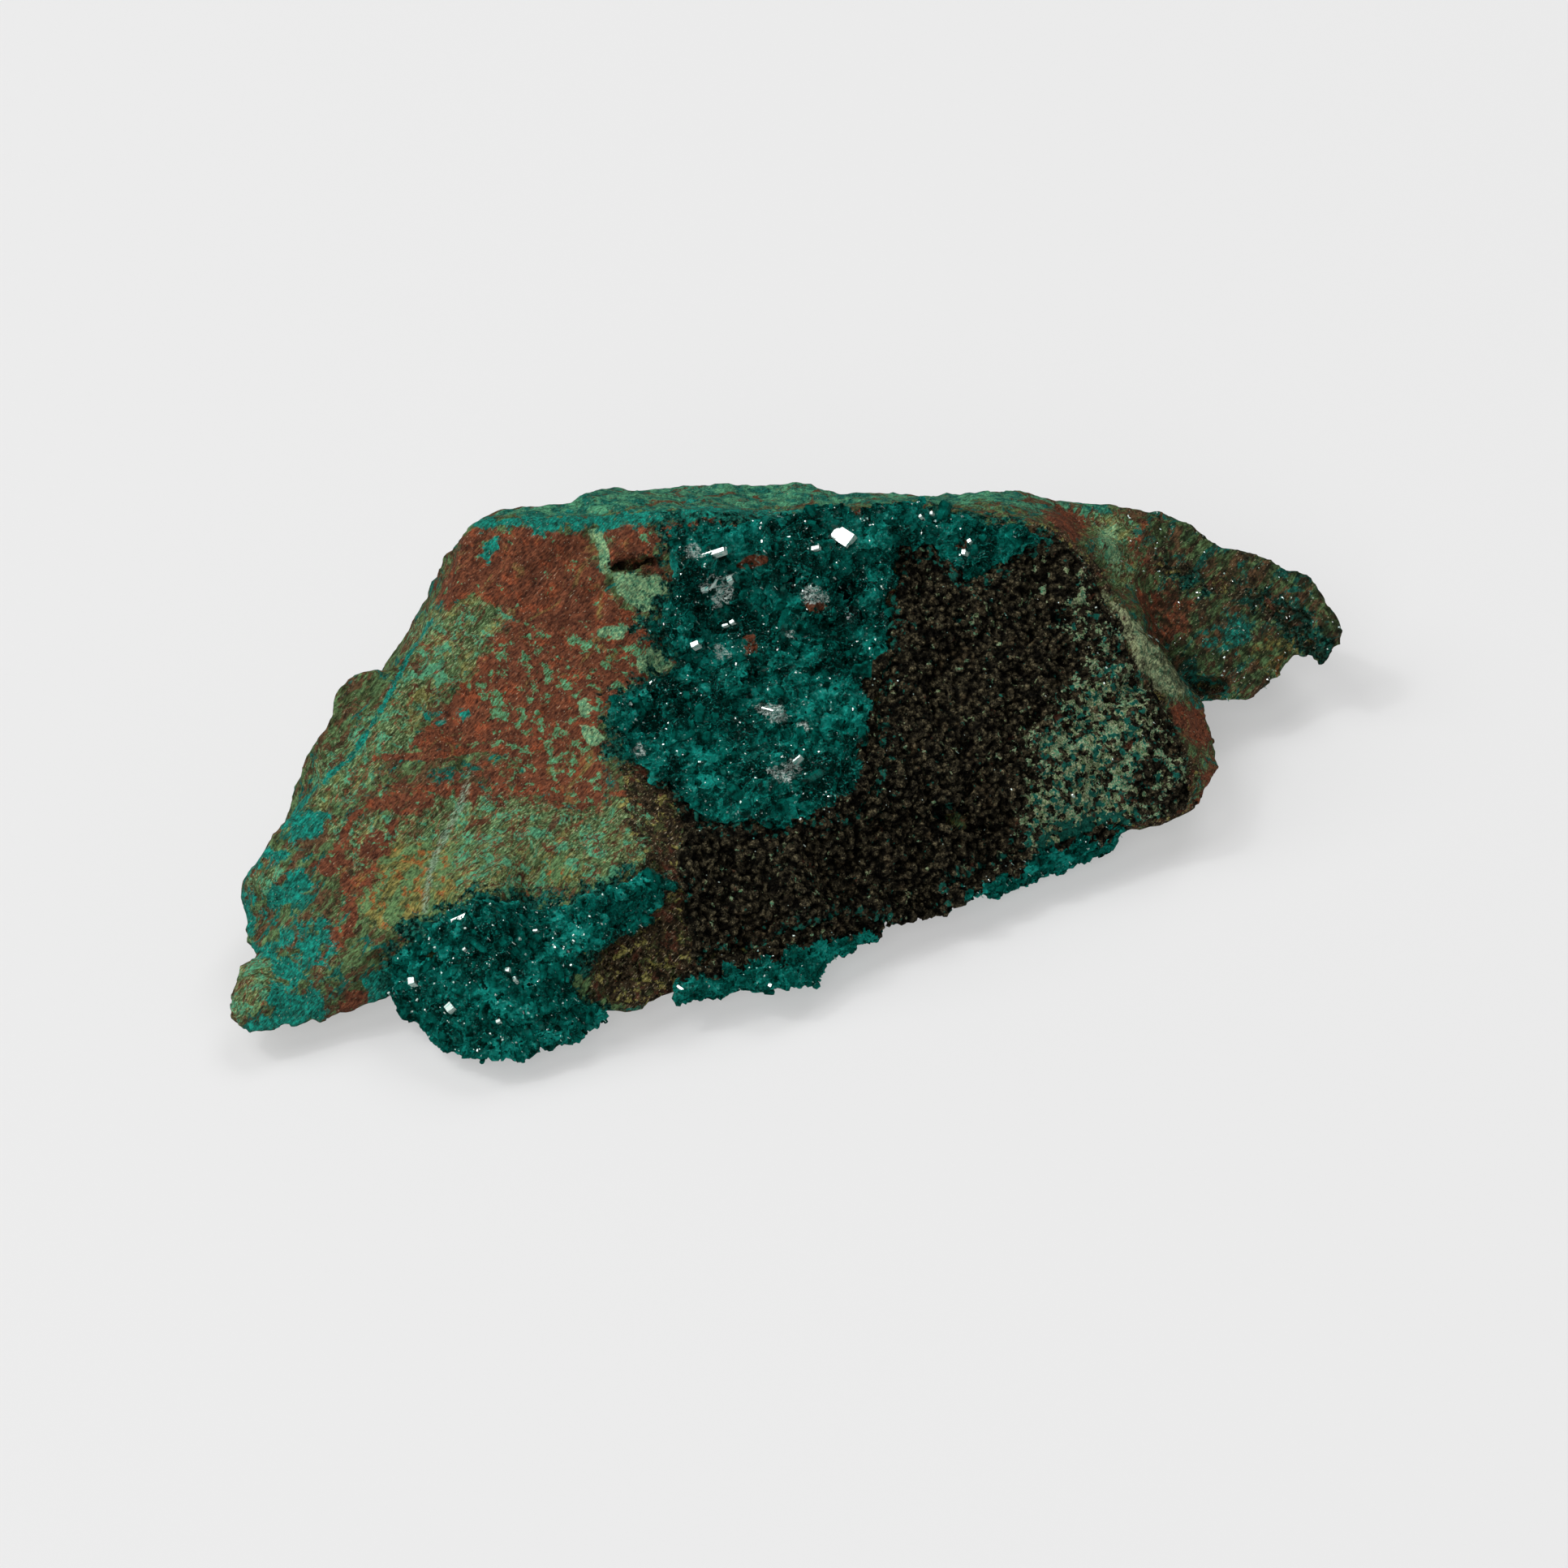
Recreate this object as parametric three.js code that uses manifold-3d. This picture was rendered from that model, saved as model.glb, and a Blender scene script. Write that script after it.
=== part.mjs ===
// Dioptase specimen: druses of glassy green crystals and a dark, finely nodular crust, grown on a wedge of
// copper-stained host rock that rests on a broken, nearly flat base.
// Millimetres, +Z up. X runs along the specimen, Y away from the display face, and the origin is on the
// table under the middle of the specimen.

import * as THREE from "three";
import { ConvexGeometry } from "three/addons/geometries/ConvexGeometry.js";
import { ImprovedNoise } from "three/addons/math/ImprovedNoise.js";
import { mergeVertices } from "three/addons/utils/BufferGeometryUtils.js";
import Module from "manifold-3d";

const wasm = await Module();
wasm.setup();

// Driving dimensions. Every landmark below is in hundredths of the length.
const LENGTH = 100;
const UNIT = LENGTH / 100;
// The display face is described as it is seen from this far above the table.
const VIEW_TILT = THREE.MathUtils.degToRad(38);
// From the nearest point of the lower edge to the middle of the specimen.
const CENTRE_X = 0;
const CENTRE_Y = 34;
// Clearance between a crust and the rock that it grew on.
const SEAT_GAP = 0.35;
const CRUST_THICKNESS = 1.1;
const DRUSE_THICKNESS = 1.5;
// Longest edges of the facets, and where the back begins, away from the middle.
const FINE_EDGE = 4.2;
const COARSE_EDGE = 7;
const HIDDEN_BEYOND = 18;
// Roughness of the broken rock: how far its surface wanders, over what distance.
const COARSE_RELIEF = { reach: 0.75, spacing: 7.5 };
const FINE_RELIEF = { reach: 0.4, spacing: 3.1 };

// The widest line round the lump, where it turns under, from the left foot along the near edge to the
// right tip. Each row is across, up the picture plane, and height above the table.
const NEAR_EDGE = [
  [-50.1, 7.9, 4.5],
  [-49.5, 5.8, 3.4],
  [-48.2, 3.0, 2.4],
  [-45.3, 3.5, 2.4],
  [-41.0, 4.6, 2.6],
  [-36.7, 6.0, 3.0],
  [-34.0, 7.4, 3.4],
  [-31.7, 6.0, 3.2],
  [-29.5, 4.1, 2.8],
  [-26.8, 2.0, 2.4],
  [-23.7, 2.9, 2.4],
  [-19.6, 4.2, 2.6],
  [-16.2, 5.7, 2.6],
  [-12.9, 5.8, 2.6],
  [-9.2, 6.8, 2.8],
  [-4.7, 9.0, 3.3],
  [-1.6, 7.4, 2.9],
  [1.1, 8.8, 3.0],
  [3.6, 11.6, 3.4],
  [6.8, 12.6, 3.5],
  [8.6, 14.0, 3.6],
  [10.8, 15.9, 4.0],
  [15.1, 16.0, 3.9],
  [19.4, 18.0, 4.0],
  [23.7, 19.7, 4.2],
  [27.0, 21.5, 4.5],
  [30.6, 22.0, 4.6],
  [34.5, 22.9, 4.8],
  [37.0, 24.3, 5.2],
  [38.4, 27.3, 5.8],
  [37.9, 31.0, 6.4],
  [37.1, 33.3, 4.6],
  [39.6, 33.2, 4.4],
  [41.4, 33.5, 4.4],
  [44.4, 35.0, 4.6],
  [45.6, 36.4, 5.0],
  [49.0, 35.8, 5.2],
  [51.0, 39.6, 7.8],
];
// The same line on round the back, seen from above: along, away, and height.
const FAR_EDGE = [
  [48.8, 57.5, 6.5],
  [45.5, 62.0, 5.5],
  [39.0, 66.0, 4.5],
  [31.0, 68.0, 4.2],
  [23.0, 69.5, 4.0],
  [14.0, 70.0, 3.8],
  [5.0, 70.5, 3.8],
  [-4.0, 70.0, 4.0],
  [-12.0, 68.5, 4.2],
  [-20.0, 65.5, 4.2],
  [-27.0, 60.0, 4.0],
  [-32.5, 53.5, 4.0],
  [-37.0, 46.5, 4.0],
  [-40.5, 39.5, 4.2],
  [-43.0, 32.5, 4.5],
  [-46.0, 26.0, 5.0],
  [-47.6, 19.5, 5.4],
];
// The shoulder between the left flank and the left foot, seen as the near edge is.
const LEFT_SHOULDER = [
  [-48.1, 14.4, 5.8],
  [-47.3, 11.1, 5.4],
  [-49.4, 9.1, 4.9],
];
// Breaks of slope on the display face, from the left brow along the crest and down the right ridge.
const LEFT_BROW = [
  [-47.6, 17.6, 9.5],
  [-44.5, 21.2, 12.6],
  [-42.2, 23.8, 14.4],
  [-41.2, 26.8, 16.2],
  [-41.7, 30.6, 18.2],
  [-39.9, 32.7, 19.6],
  [-38.0, 34.9, 20.6],
  [-34.4, 36.8, 21.6],
  [-32.1, 39.2, 23.2],
  [-30.4, 42.2, 25.2],
  [-29.2, 45.5, 27.2],
];
const CREST = [
  [-28.1, 49.5, 29.6],
  [-24.0, 49.4, 29.6],
  [-19.4, 49.2, 29.3],
  [-12.0, 49.3, 28.8],
  [-5.0, 49.6, 28.4],
  [1.0, 49.6, 27.9],
  [6.5, 50.0, 27.3],
  [12.2, 50.6, 26.4],
  [19.4, 49.4, 25.0],
  [24.0, 48.3, 23.5],
];
const RIGHT_RIDGE = [
  [27.2, 45.6, 21.5],
  [29.3, 42.2, 18.8],
  [32.6, 38.6, 15.4],
  [35.6, 35.5, 11.6],
];
// The far side of the narrow top face, and on along the top of the right lobe.
const BACK_BROW = [
  [-26.8, 49.9, 28.9],
  [-19.6, 50.4, 27.8],
  [-16.4, 51.7, 26.4],
  [-10.0, 52.4, 24.6],
  [-4.0, 53.2, 23.8],
  [1.0, 52.8, 23.6],
  [6.0, 51.4, 23.5],
  [11.0, 51.4, 23.2],
  [17.0, 51.7, 22.2],
  [24.0, 51.5, 20.6],
  [29.5, 50.9, 19.2],
  [33.9, 50.5, 17.6],
  [38.1, 48.4, 15.9],
  [42.4, 46.3, 14.4],
  [47.4, 44.3, 12.2],
];
// The slopes between the breaks: lower, middle and upper face, then the lobe on the right.
const FACE = [
  [-46.6, 7.4, 6.0],
  [-42.6, 8.2, 6.4],
  [-38.0, 9.6, 7.0],
  [-43.8, 15.0, 9.2],
  [-39.5, 20.0, 12.2],
  [-38.0, 28.0, 16.6],
  [-34.0, 12.4, 8.8],
  [-32.0, 21.0, 13.2],
  [-33.0, 31.0, 18.4],
  [-30.0, 9.8, 7.8],
  [-26.2, 8.0, 7.0],
  [-22.4, 9.2, 7.2],
  [-26.0, 13.0, 11.4],
  [-24.0, 22.0, 14.2],
  [-26.0, 31.0, 17.8],
  [-25.0, 40.0, 23.4],
  [-18.0, 11.6, 9.2],
  [-16.0, 18.0, 12.6],
  [-14.0, 27.0, 16.4],
  [-15.5, 36.5, 20.8],
  [-14.5, 44.0, 25.2],
  [-10.5, 12.2, 6.6],
  [-8.0, 15.6, 9.6],
  [-7.0, 23.5, 14.4],
  [-5.5, 31.0, 16.8],
  [-6.5, 39.0, 20.4],
  [-1.0, 13.4, 6.4],
  [0.5, 17.0, 10.2],
  [2.0, 25.0, 15.2],
  [3.0, 32.5, 17.4],
  [2.5, 39.5, 20.0],
  [2.0, 45.6, 24.6],
  [8.0, 20.0, 9.0],
  [10.0, 26.6, 13.4],
  [10.5, 34.5, 17.4],
  [11.0, 42.0, 21.6],
  [17.0, 21.6, 7.6],
  [18.5, 28.0, 12.2],
  [19.0, 36.0, 16.8],
  [19.5, 43.5, 21.2],
  [26.0, 25.4, 8.2],
  [26.5, 31.0, 12.2],
  [26.0, 38.5, 16.8],
  [32.5, 27.0, 8.4],
  [32.0, 33.6, 12.4],
  [35.6, 30.6, 9.4],
];
const LOBE = [
  [32.6, 41.6, 12.0],
  [37.0, 37.4, 8.4],
  [40.6, 37.4, 7.6],
  [45.0, 39.4, 8.4],
  [35.0, 45.4, 14.2],
  [40.0, 43.0, 12.0],
  [31.0, 47.4, 17.0],
];
// Hidden slopes behind the crest, seen from above.
const BACK_SLOPE = [
  [-33.0, 45.5, 17.0],
  [-25.0, 53.0, 18.0],
  [-15.0, 60.5, 16.0],
  [-3.0, 64.0, 14.5],
  [8.0, 63.5, 15.0],
  [19.0, 64.5, 13.0],
  [30.0, 64.0, 11.0],
  [39.0, 61.5, 9.5],
];
// The flat of the base that the specimen rests on.
const BASE = [
  [-41.0, 12.0, 0],
  [-33.0, 12.5, 0],
  [-26.0, 7.0, 0],
  [-18.0, 9.0, 0],
  [-8.0, 13.5, 0],
  [2.0, 17.5, 0],
  [12.0, 26.0, 0],
  [24.0, 31.5, 0],
  [31.0, 38.0, 0],
  [34.0, 48.0, 0],
  [38.0, 57.0, 0],
  [26.0, 62.0, 0],
  [12.0, 64.0, 0],
  [-2.0, 63.5, 0],
  [-14.0, 61.0, 0],
  [-25.0, 53.0, 0],
  [-32.0, 43.0, 0],
  [-38.0, 31.0, 0],
  [-41.5, 21.0, 0],
  [-22.0, 30.0, 0],
  [0.0, 42.0, 0],
];

// Outlines of what grew on the display face, across and up the picture plane.
const MAIN_DRUSE = [
  [-10.8, 48.4], [-5.0, 48.9], [3.0, 50.2], [11.5, 50.6], [18.0, 49.6], [23.5, 48.0], [20.5, 46.6],
  [16.2, 43.8], [13.0, 47.2], [9.4, 46.6], [9.0, 39.0], [7.6, 33.0], [8.4, 27.8], [5.8, 23.6],
  [-2.0, 22.4], [-7.6, 22.8], [-11.5, 26.6], [-15.0, 29.0], [-15.2, 33.4], [-9.0, 36.2], [-12.4, 39.6],
  [-9.6, 43.6],
];
const CORNER_DRUSE = [
  [-34.8, 9.4], [-31.0, 13.6], [-26.4, 16.0], [-21.6, 14.8], [-16.0, 16.4], [-11.6, 18.0], [-9.8, 16.4],
  [-13.6, 13.0], [-18.2, 10.6], [-19.4, 8.0], [-16.2, 5.6], [-17.6, 4.6], [-19.4, 2.3], [-23.6, 0.9],
  [-27.0, -0.3], [-30.3, 2.6], [-32.6, 3.7], [-34.2, 6.6],
];
const EDGE_DRUSE = [
  [-9.6, 9.2], [-6.0, 10.8], [-3.4, 10.6], [0.6, 12.8], [5.4, 14.0], [8.6, 13.6], [7.0, 10.6], [3.4, 9.6],
  [1.0, 7.2], [-2.2, 6.4], [-5.0, 7.3], [-9.4, 6.4],
];
const RIGHT_EDGE_DRUSE = [
  [14.4, 16.8], [18.6, 18.6], [23.6, 20.5], [27.6, 22.2], [30.4, 21.8], [29.0, 19.8], [23.4, 17.6],
  [17.6, 15.9], [14.6, 15.2],
];
const DARK_CRUST = [
  [9.0, 47.8], [13.0, 48.4], [16.4, 45.4], [19.8, 47.6], [23.4, 48.6], [26.6, 45.2], [29.0, 41.2],
  [30.6, 37.0], [33.0, 33.0], [35.6, 27.6], [35.6, 24.0], [30.4, 22.4], [23.4, 20.2], [17.0, 17.4],
  [13.6, 14.6], [10.2, 14.2], [6.2, 12.8], [0.2, 12.0], [-8.4, 10.4], [-8.6, 14.0], [-10.2, 19.4],
  [-9.0, 23.0], [-12.4, 27.0], [-7.4, 24.0], [-2.0, 22.6], [6.0, 23.6], [8.8, 27.6], [8.0, 33.0],
  [9.4, 39.0], [9.8, 45.0],
];

// Small hollows broken or leached into the surface: where each is seen, its half sizes and its slant.
const HOLLOWS = [
  { at: [-13.2, 45.6], half: [2.6, 0.55, 1.6], slant: 0.12 },
  { at: [14.5, 22.6], half: [1.3, 1.0, 2.2], slant: 0.0 },
  { at: [4.8, 40.2], half: [2.4, 0.6, 2.6], slant: 0.1 },
  { at: [38.2, 34.7], half: [2.6, 0.8, 2.4], slant: -0.1 },
  { at: [-31.0, 10.6], half: [1.8, 0.6, 1.8], slant: -0.3 },
];

const noise = new ImprovedNoise();

// A landmark of the display face, from where it is seen and how high it stands.
function seen([across, up, height]) {
  const away = (up - height * Math.cos(VIEW_TILT)) / Math.sin(VIEW_TILT);
  return fromAbove([across, away, height]);
}

function fromAbove([along, away, height]) {
  return new THREE.Vector3(along - CENTRE_X, away - CENTRE_Y, height).multiplyScalar(UNIT);
}

// The same point every time for the same spot, so that faces that meet there stay joined.
function roughened(point) {
  const moved = point.clone();
  const settle = THREE.MathUtils.smoothstep(point.z, 0, 3 * UNIT);
  for (const { reach, spacing } of [COARSE_RELIEF, FINE_RELIEF]) {
    const at = point.clone().divideScalar(spacing * UNIT);
    const far = reach * UNIT;
    moved.x += 1.6 * far * noise.noise(at.x, at.y, at.z + 11);
    moved.y += 1.6 * far * noise.noise(at.x + 23, at.y, at.z);
    moved.z += 1.6 * far * noise.noise(at.x, at.y + 37, at.z) * settle;
  }
  return moved;
}

function isInside(point, outline) {
  let inside = false;
  outline.forEach((a, i) => {
    const b = outline[(i + 1) % outline.length];
    const spans = a.y > point.y !== b.y > point.y;
    if (spans && point.x < ((b.x - a.x) * (point.y - a.y)) / (b.y - a.y) + a.x) inside = !inside;
  });
  return inside;
}

function circleHolds(point, corners) {
  const [a, b, c] = corners.map((corner) => corner.clone().sub(point));
  const square = (p) => p.x * p.x + p.y * p.y;
  const sum =
    square(a) * (b.x * c.y - c.x * b.y) -
    square(b) * (a.x * c.y - c.x * a.y) +
    square(c) * (a.x * b.y - b.x * a.y);
  return sum > 0;
}

// The triangles between landmarks, seen from above, inside the line round the lump (Bowyer and Watson).
function network(landmarks, rimCount) {
  const far = 40 * LENGTH;
  const corners = [[-far, -far], [far, -far], [0, far]].map(([x, y]) => new THREE.Vector3(x, y, 0));
  const points = [...landmarks, ...corners];
  const count = landmarks.length;
  let faces = [[count, count + 1, count + 2]];
  landmarks.forEach((point, index) => {
    const opened = faces.filter((face) => circleHolds(point, face.map((k) => points[k])));
    const sides = opened.flatMap(([a, b, c]) => [[a, b], [b, c], [c, a]]);
    const border = sides.filter(([a, b]) => !sides.some(([c, d]) => c === b && d === a));
    faces = faces.filter((face) => !opened.includes(face));
    faces.push(...border.map(([a, b]) => [a, b, index]));
  });
  const rim = landmarks.slice(0, rimCount);
  return faces.filter((face) => {
    if (face.some((k) => k >= count)) return false;
    const middle = new THREE.Vector3();
    face.forEach((k) => middle.add(points[k]));
    return isInside(middle.divideScalar(3), rim);
  });
}

// Halves the edges that are too long and splits the triangles beside them to match.
function refined({ points, faces }, isTooLong) {
  const all = [...points];
  const halves = new Map();
  const half = (a, b) => {
    const key = a < b ? `${a} ${b}` : `${b} ${a}`;
    if (!halves.has(key)) {
      const split = isTooLong(points[a], points[b]);
      if (split) all.push(points[a].clone().lerp(points[b], 0.5));
      halves.set(key, split ? all.length - 1 : undefined);
    }
    return halves.get(key);
  };
  const finer = faces.flatMap((face) => {
    const cuts = face.map((a, i) => half(a, face[(i + 1) % 3]));
    const first = Math.max(0, cuts.findIndex((cut, i) => cut !== undefined && cuts[(i + 2) % 3] === undefined));
    const [a, b, c] = [0, 1, 2].map((i) => face[(first + i) % 3]);
    const [ab, bc, ca] = [0, 1, 2].map((i) => cuts[(first + i) % 3]);
    if (ab === undefined) return [face];
    if (bc === undefined) return [[a, ab, c], [ab, b, c]];
    if (ca === undefined) return [[ab, b, bc], [a, ab, bc], [a, bc, c]];
    return [[a, ab, ca], [ab, b, bc], [ca, bc, c], [ab, bc, ca]];
  });
  return { points: all, faces: finer };
}

// The display face is modelled finely, the back and the underside coarsely and the flat of the base not at all.
function isTooLong(a, b) {
  if (a.z === 0 && b.z === 0) return false;
  const isHidden = Math.max(a.y, b.y) > HIDDEN_BEYOND * UNIT || Math.min(a.z, b.z) === 0;
  return a.distanceTo(b) > (isHidden ? COARSE_EDGE : FINE_EDGE) * UNIT;
}

function surfaceOf(points, faces) {
  const geometry = new THREE.BufferGeometry();
  geometry.setAttribute("position", new THREE.Float32BufferAttribute(points.flatMap((p) => p.toArray()), 3));
  geometry.setIndex(faces.flat());
  geometry.computeVertexNormals();
  return geometry;
}

// The host rock as one closed skin: a top network and a base network that share the line round the lump.
function rockSkin() {
  const rim = [
    ...NEAR_EDGE.map(seen),
    ...FAR_EDGE.map(fromAbove),
    ...LEFT_SHOULDER.map(seen),
  ];
  const slopes = [...LEFT_BROW, ...CREST, ...RIGHT_RIDGE, ...BACK_BROW, ...FACE, ...LOBE].map(seen);
  const top = [...slopes, ...BACK_SLOPE.map(fromAbove)];
  const base = BASE.map(fromAbove);
  const shift = (k) => (k < rim.length ? k : k + top.length);
  const upper = network([...rim, ...top], rim.length);
  const lower = network([...rim, ...base], rim.length).map(([a, b, c]) => [shift(a), shift(c), shift(b)]);
  let skin = { points: [...rim, ...top, ...base], faces: [...upper, ...lower] };
  for (let pass = 0; pass < 3; pass++) skin = refined(skin, isTooLong);
  return surfaceOf(skin.points.map(roughened), skin.faces);
}

// A skin moved outwards along its normals, by the same amount all over or by an amount for each point.
function swollen(skin, amount) {
  const geometry = skin.clone();
  const position = geometry.getAttribute("position");
  const normal = geometry.getAttribute("normal");
  const point = new THREE.Vector3();
  const outwards = new THREE.Vector3();
  for (let i = 0; i < position.count; i++) {
    point.fromBufferAttribute(position, i);
    outwards.fromBufferAttribute(normal, i);
    const far = typeof amount === "number" ? amount : amount(point);
    position.setXYZ(i, ...point.addScaledVector(outwards, far).toArray());
  }
  return geometry;
}

function solidOf(geometry) {
  const bare = geometry.clone();
  bare.deleteAttribute("normal");
  bare.deleteAttribute("uv");
  const merged = mergeVertices(bare, 1e-4);
  return new wasm.Manifold(
    new wasm.Mesh({
      numProp: 3,
      vertProperties: new Float32Array(merged.getAttribute("position").array),
      triVerts: new Uint32Array(merged.index.array),
    }),
  );
}

function geometryOf(solid) {
  const mesh = solid.getMesh();
  const stride = mesh.numProp;
  const places = new Float32Array(mesh.numVert * 3);
  for (let i = 0; i < mesh.numVert; i++) {
    places.set(mesh.vertProperties.subarray(i * stride, i * stride + 3), i * 3);
  }
  const geometry = new THREE.BufferGeometry();
  geometry.setAttribute("position", new THREE.BufferAttribute(places, 3));
  geometry.setIndex(new THREE.BufferAttribute(mesh.triVerts, 1));
  geometry.computeVertexNormals();
  return geometry;
}

function largestPiece(solid) {
  return solid.decompose().reduce((a, b) => (a.volume() > b.volume() ? a : b));
}

// Turns a flat shape in the XY plane so that it faces the viewer of the display face.
function turnedToViewer(geometry) {
  geometry.rotateX(Math.PI / 2 - VIEW_TILT);
  return geometry.translate(0, -CENTRE_Y * UNIT, 0);
}

// Everything behind an outline drawn on the display face, widened by a margin.
function behind(outline, margin = 0) {
  const flat = outline.map(([across, up]) => new THREE.Vector2(across - CENTRE_X, up).multiplyScalar(UNIT));
  if (THREE.ShapeUtils.area(flat) < 0) flat.reverse();
  const widened = flat.map((point, i) => {
    const before = flat[(i + flat.length - 1) % flat.length];
    const after = flat[(i + 1) % flat.length];
    const along = after.clone().sub(before).normalize();
    return point.clone().add(new THREE.Vector2(along.y, -along.x).multiplyScalar(margin));
  });
  const reach = 2 * LENGTH;
  const prism = new THREE.ExtrudeGeometry(new THREE.Shape(widened), { depth: 2 * reach, bevelEnabled: false });
  return solidOf(turnedToViewer(prism.translate(0, 0, -reach)));
}

function aboveTable(clearance) {
  const room = new THREE.BoxGeometry(3 * LENGTH, 3 * LENGTH, LENGTH);
  return solidOf(room.translate(0, 0, LENGTH / 2 + clearance));
}

// A ray from the viewer to the display face, through a point of the picture plane.
function spotOn(rock, across, up) {
  const flat = new THREE.BufferGeometry().setFromPoints([
    new THREE.Vector3(across - CENTRE_X, up, 2 * LENGTH).multiplyScalar(UNIT),
    new THREE.Vector3(across - CENTRE_X, up, 0).multiplyScalar(UNIT),
  ]);
  const ends = turnedToViewer(flat).getAttribute("position");
  const from = new THREE.Vector3().fromBufferAttribute(ends, 0);
  const towards = new THREE.Vector3().fromBufferAttribute(ends, 1).sub(from).normalize();
  const [hit] = new THREE.Raycaster(from, towards).intersectObject(rock);
  return hit && { point: hit.point, normal: hit.face.normal.clone() };
}

// A dioptase crystal: a six-sided prism under three rhombs that meet at the tip.
function crystal(radius, length) {
  const rhombDrop = 0.615 * radius;
  const corners = [];
  for (let i = 0; i < 6; i++) {
    const turn = (i * Math.PI) / 3;
    const [x, y] = [radius * Math.cos(turn), radius * Math.sin(turn)];
    const shoulder = length - rhombDrop * (i % 2 === 0 ? 1 : 2);
    corners.push(new THREE.Vector3(x, y, -0.6 * radius), new THREE.Vector3(x, y, shoulder));
  }
  corners.push(new THREE.Vector3(0, 0, length));
  return new ConvexGeometry(corners);
}

// Places for crystals, at random inside an outline and leaning from the surface's own direction.
function crystalPlaces(rock, outline, { count, radius, lean, seed }) {
  THREE.MathUtils.seededRandom(seed);
  const random = (low, high) => low + (high - low) * THREE.MathUtils.seededRandom();
  const flat = outline.map(([x, y]) => new THREE.Vector2(x, y));
  const bounds = new THREE.Box2().setFromPoints(flat);
  const places = [];
  while (places.length < count) {
    const spot = new THREE.Vector2(random(bounds.min.x, bounds.max.x), random(bounds.min.y, bounds.max.y));
    const girth = random(radius[0], radius[1]) * UNIT;
    const tall = girth * random(1.1, 1.8);
    const tilt = new THREE.Vector3(random(-lean, lean), random(-lean, lean), random(-lean, lean));
    const turn = random(0, Math.PI);
    const hit = isInside(spot, flat) && spotOn(rock, spot.x, spot.y);
    if (hit) places.push({ point: hit.point, axis: hit.normal.add(tilt).normalize(), girth, tall, turn });
  }
  return places;
}

function crystalAt({ point, axis, girth, tall, turn }) {
  const shape = crystal(girth, tall).rotateZ(turn);
  shape.applyQuaternion(new THREE.Quaternion().setFromUnitVectors(new THREE.Vector3(0, 0, 1), axis));
  return solidOf(shape.translate(...point.toArray()));
}

// A druse: a thin knobbly bed that follows the rock, with crystals standing on it.
function druse(skin, rock, outline, growth) {
  const knobbly = (point) => {
    const at = point.clone().divideScalar(3.4 * UNIT);
    return DRUSE_THICKNESS * UNIT * (1 + 0.55 * noise.noise(at.x, at.y, at.z));
  };
  const bed = solidOf(swollen(skin, knobbly));
  const crystals = crystalPlaces(rock, outline, growth).map(crystalAt);
  return crystals.reduce((all, one) => all.add(one), bed).intersect(behind(outline));
}

// The dark crust: a thin bed of nodules.
function nodularBed(skin, outline) {
  const nodular = (point) => {
    const at = point.clone().divideScalar(2.3 * UNIT);
    return CRUST_THICKNESS * UNIT * (1 + 0.3 * noise.noise(at.x, at.y, at.z));
  };
  return solidOf(swollen(skin, nodular)).intersect(behind(outline));
}

function hollow(rock, { at, half, slant }) {
  const { point, normal } = spotOn(rock, ...at);
  const bowl = new THREE.IcosahedronGeometry(UNIT, 1).scale(...half).rotateZ(slant);
  bowl.applyQuaternion(new THREE.Quaternion().setFromUnitVectors(new THREE.Vector3(0, 0, 1), normal));
  return solidOf(bowl.translate(...point.toArray()));
}

function finish(color, roughness) {
  return new THREE.MeshStandardMaterial({ color, roughness, metalness: 0 });
}

const root = new THREE.Group();

function addPiece(name, solid, material) {
  const mesh = new THREE.Mesh(geometryOf(solid), material);
  mesh.name = name;
  root.add(mesh);
}

const rockMaterial = finish(0x6b5a3c, 0.85);
const druseMaterial = finish(0x046b62, 0.2);
const crustMaterial = finish(0x1d1a14, 0.7);

const skin = rockSkin();
const rock = new THREE.Mesh(skin, rockMaterial);
const wholeRock = solidOf(skin);
const seat = solidOf(swollen(skin, SEAT_GAP)).add(wholeRock);
const room = aboveTable(1.0);
const hollows = HOLLOWS.map((place) => hollow(rock, place));
const withHollows = (solid) => hollows.reduce((left, bowl) => left.subtract(bowl), solid);
// What is left of a growth outside the rock, over the table and clear of the hollows, in one piece.
const settled = (growth) => largestPiece(withHollows(growth.intersect(room).subtract(seat)));

const druses = {
  dioptase_main_druse: [MAIN_DRUSE, { count: 52, radius: [1.3, 2.5], lean: 0.5, seed: 11 }],
  dioptase_corner_druse: [CORNER_DRUSE, { count: 38, radius: [1.0, 1.8], lean: 0.5, seed: 23 }],
  dioptase_edge_druse: [EDGE_DRUSE, { count: 14, radius: [0.8, 1.3], lean: 0.4, seed: 37 }],
  dioptase_right_edge_druse: [RIGHT_EDGE_DRUSE, { count: 10, radius: [0.8, 1.2], lean: 0.4, seed: 41 }],
};

addPiece("host_rock", largestPiece(withHollows(wholeRock)), rockMaterial);
for (const [name, [outline, growth]] of Object.entries(druses)) {
  addPiece(name, settled(druse(skin, rock, outline, growth)), druseMaterial);
}
const taken = Object.values(druses).map(([outline]) => behind(outline, SEAT_GAP));
const crust = taken.reduce((left, room) => left.subtract(room), nodularBed(skin, DARK_CRUST));
addPiece("dark_crust", settled(crust), crustMaterial);

const middle = new THREE.Box3().setFromObject(root).getCenter(new THREE.Vector3());
root.children.forEach((piece) => piece.geometry.translate(-middle.x, -middle.y, 0));

export default root;
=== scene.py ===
import math

import bmesh
import bpy
import numpy as np
from mathutils import Matrix, Vector, noise
from mathutils.bvhtree import BVHTree


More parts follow.
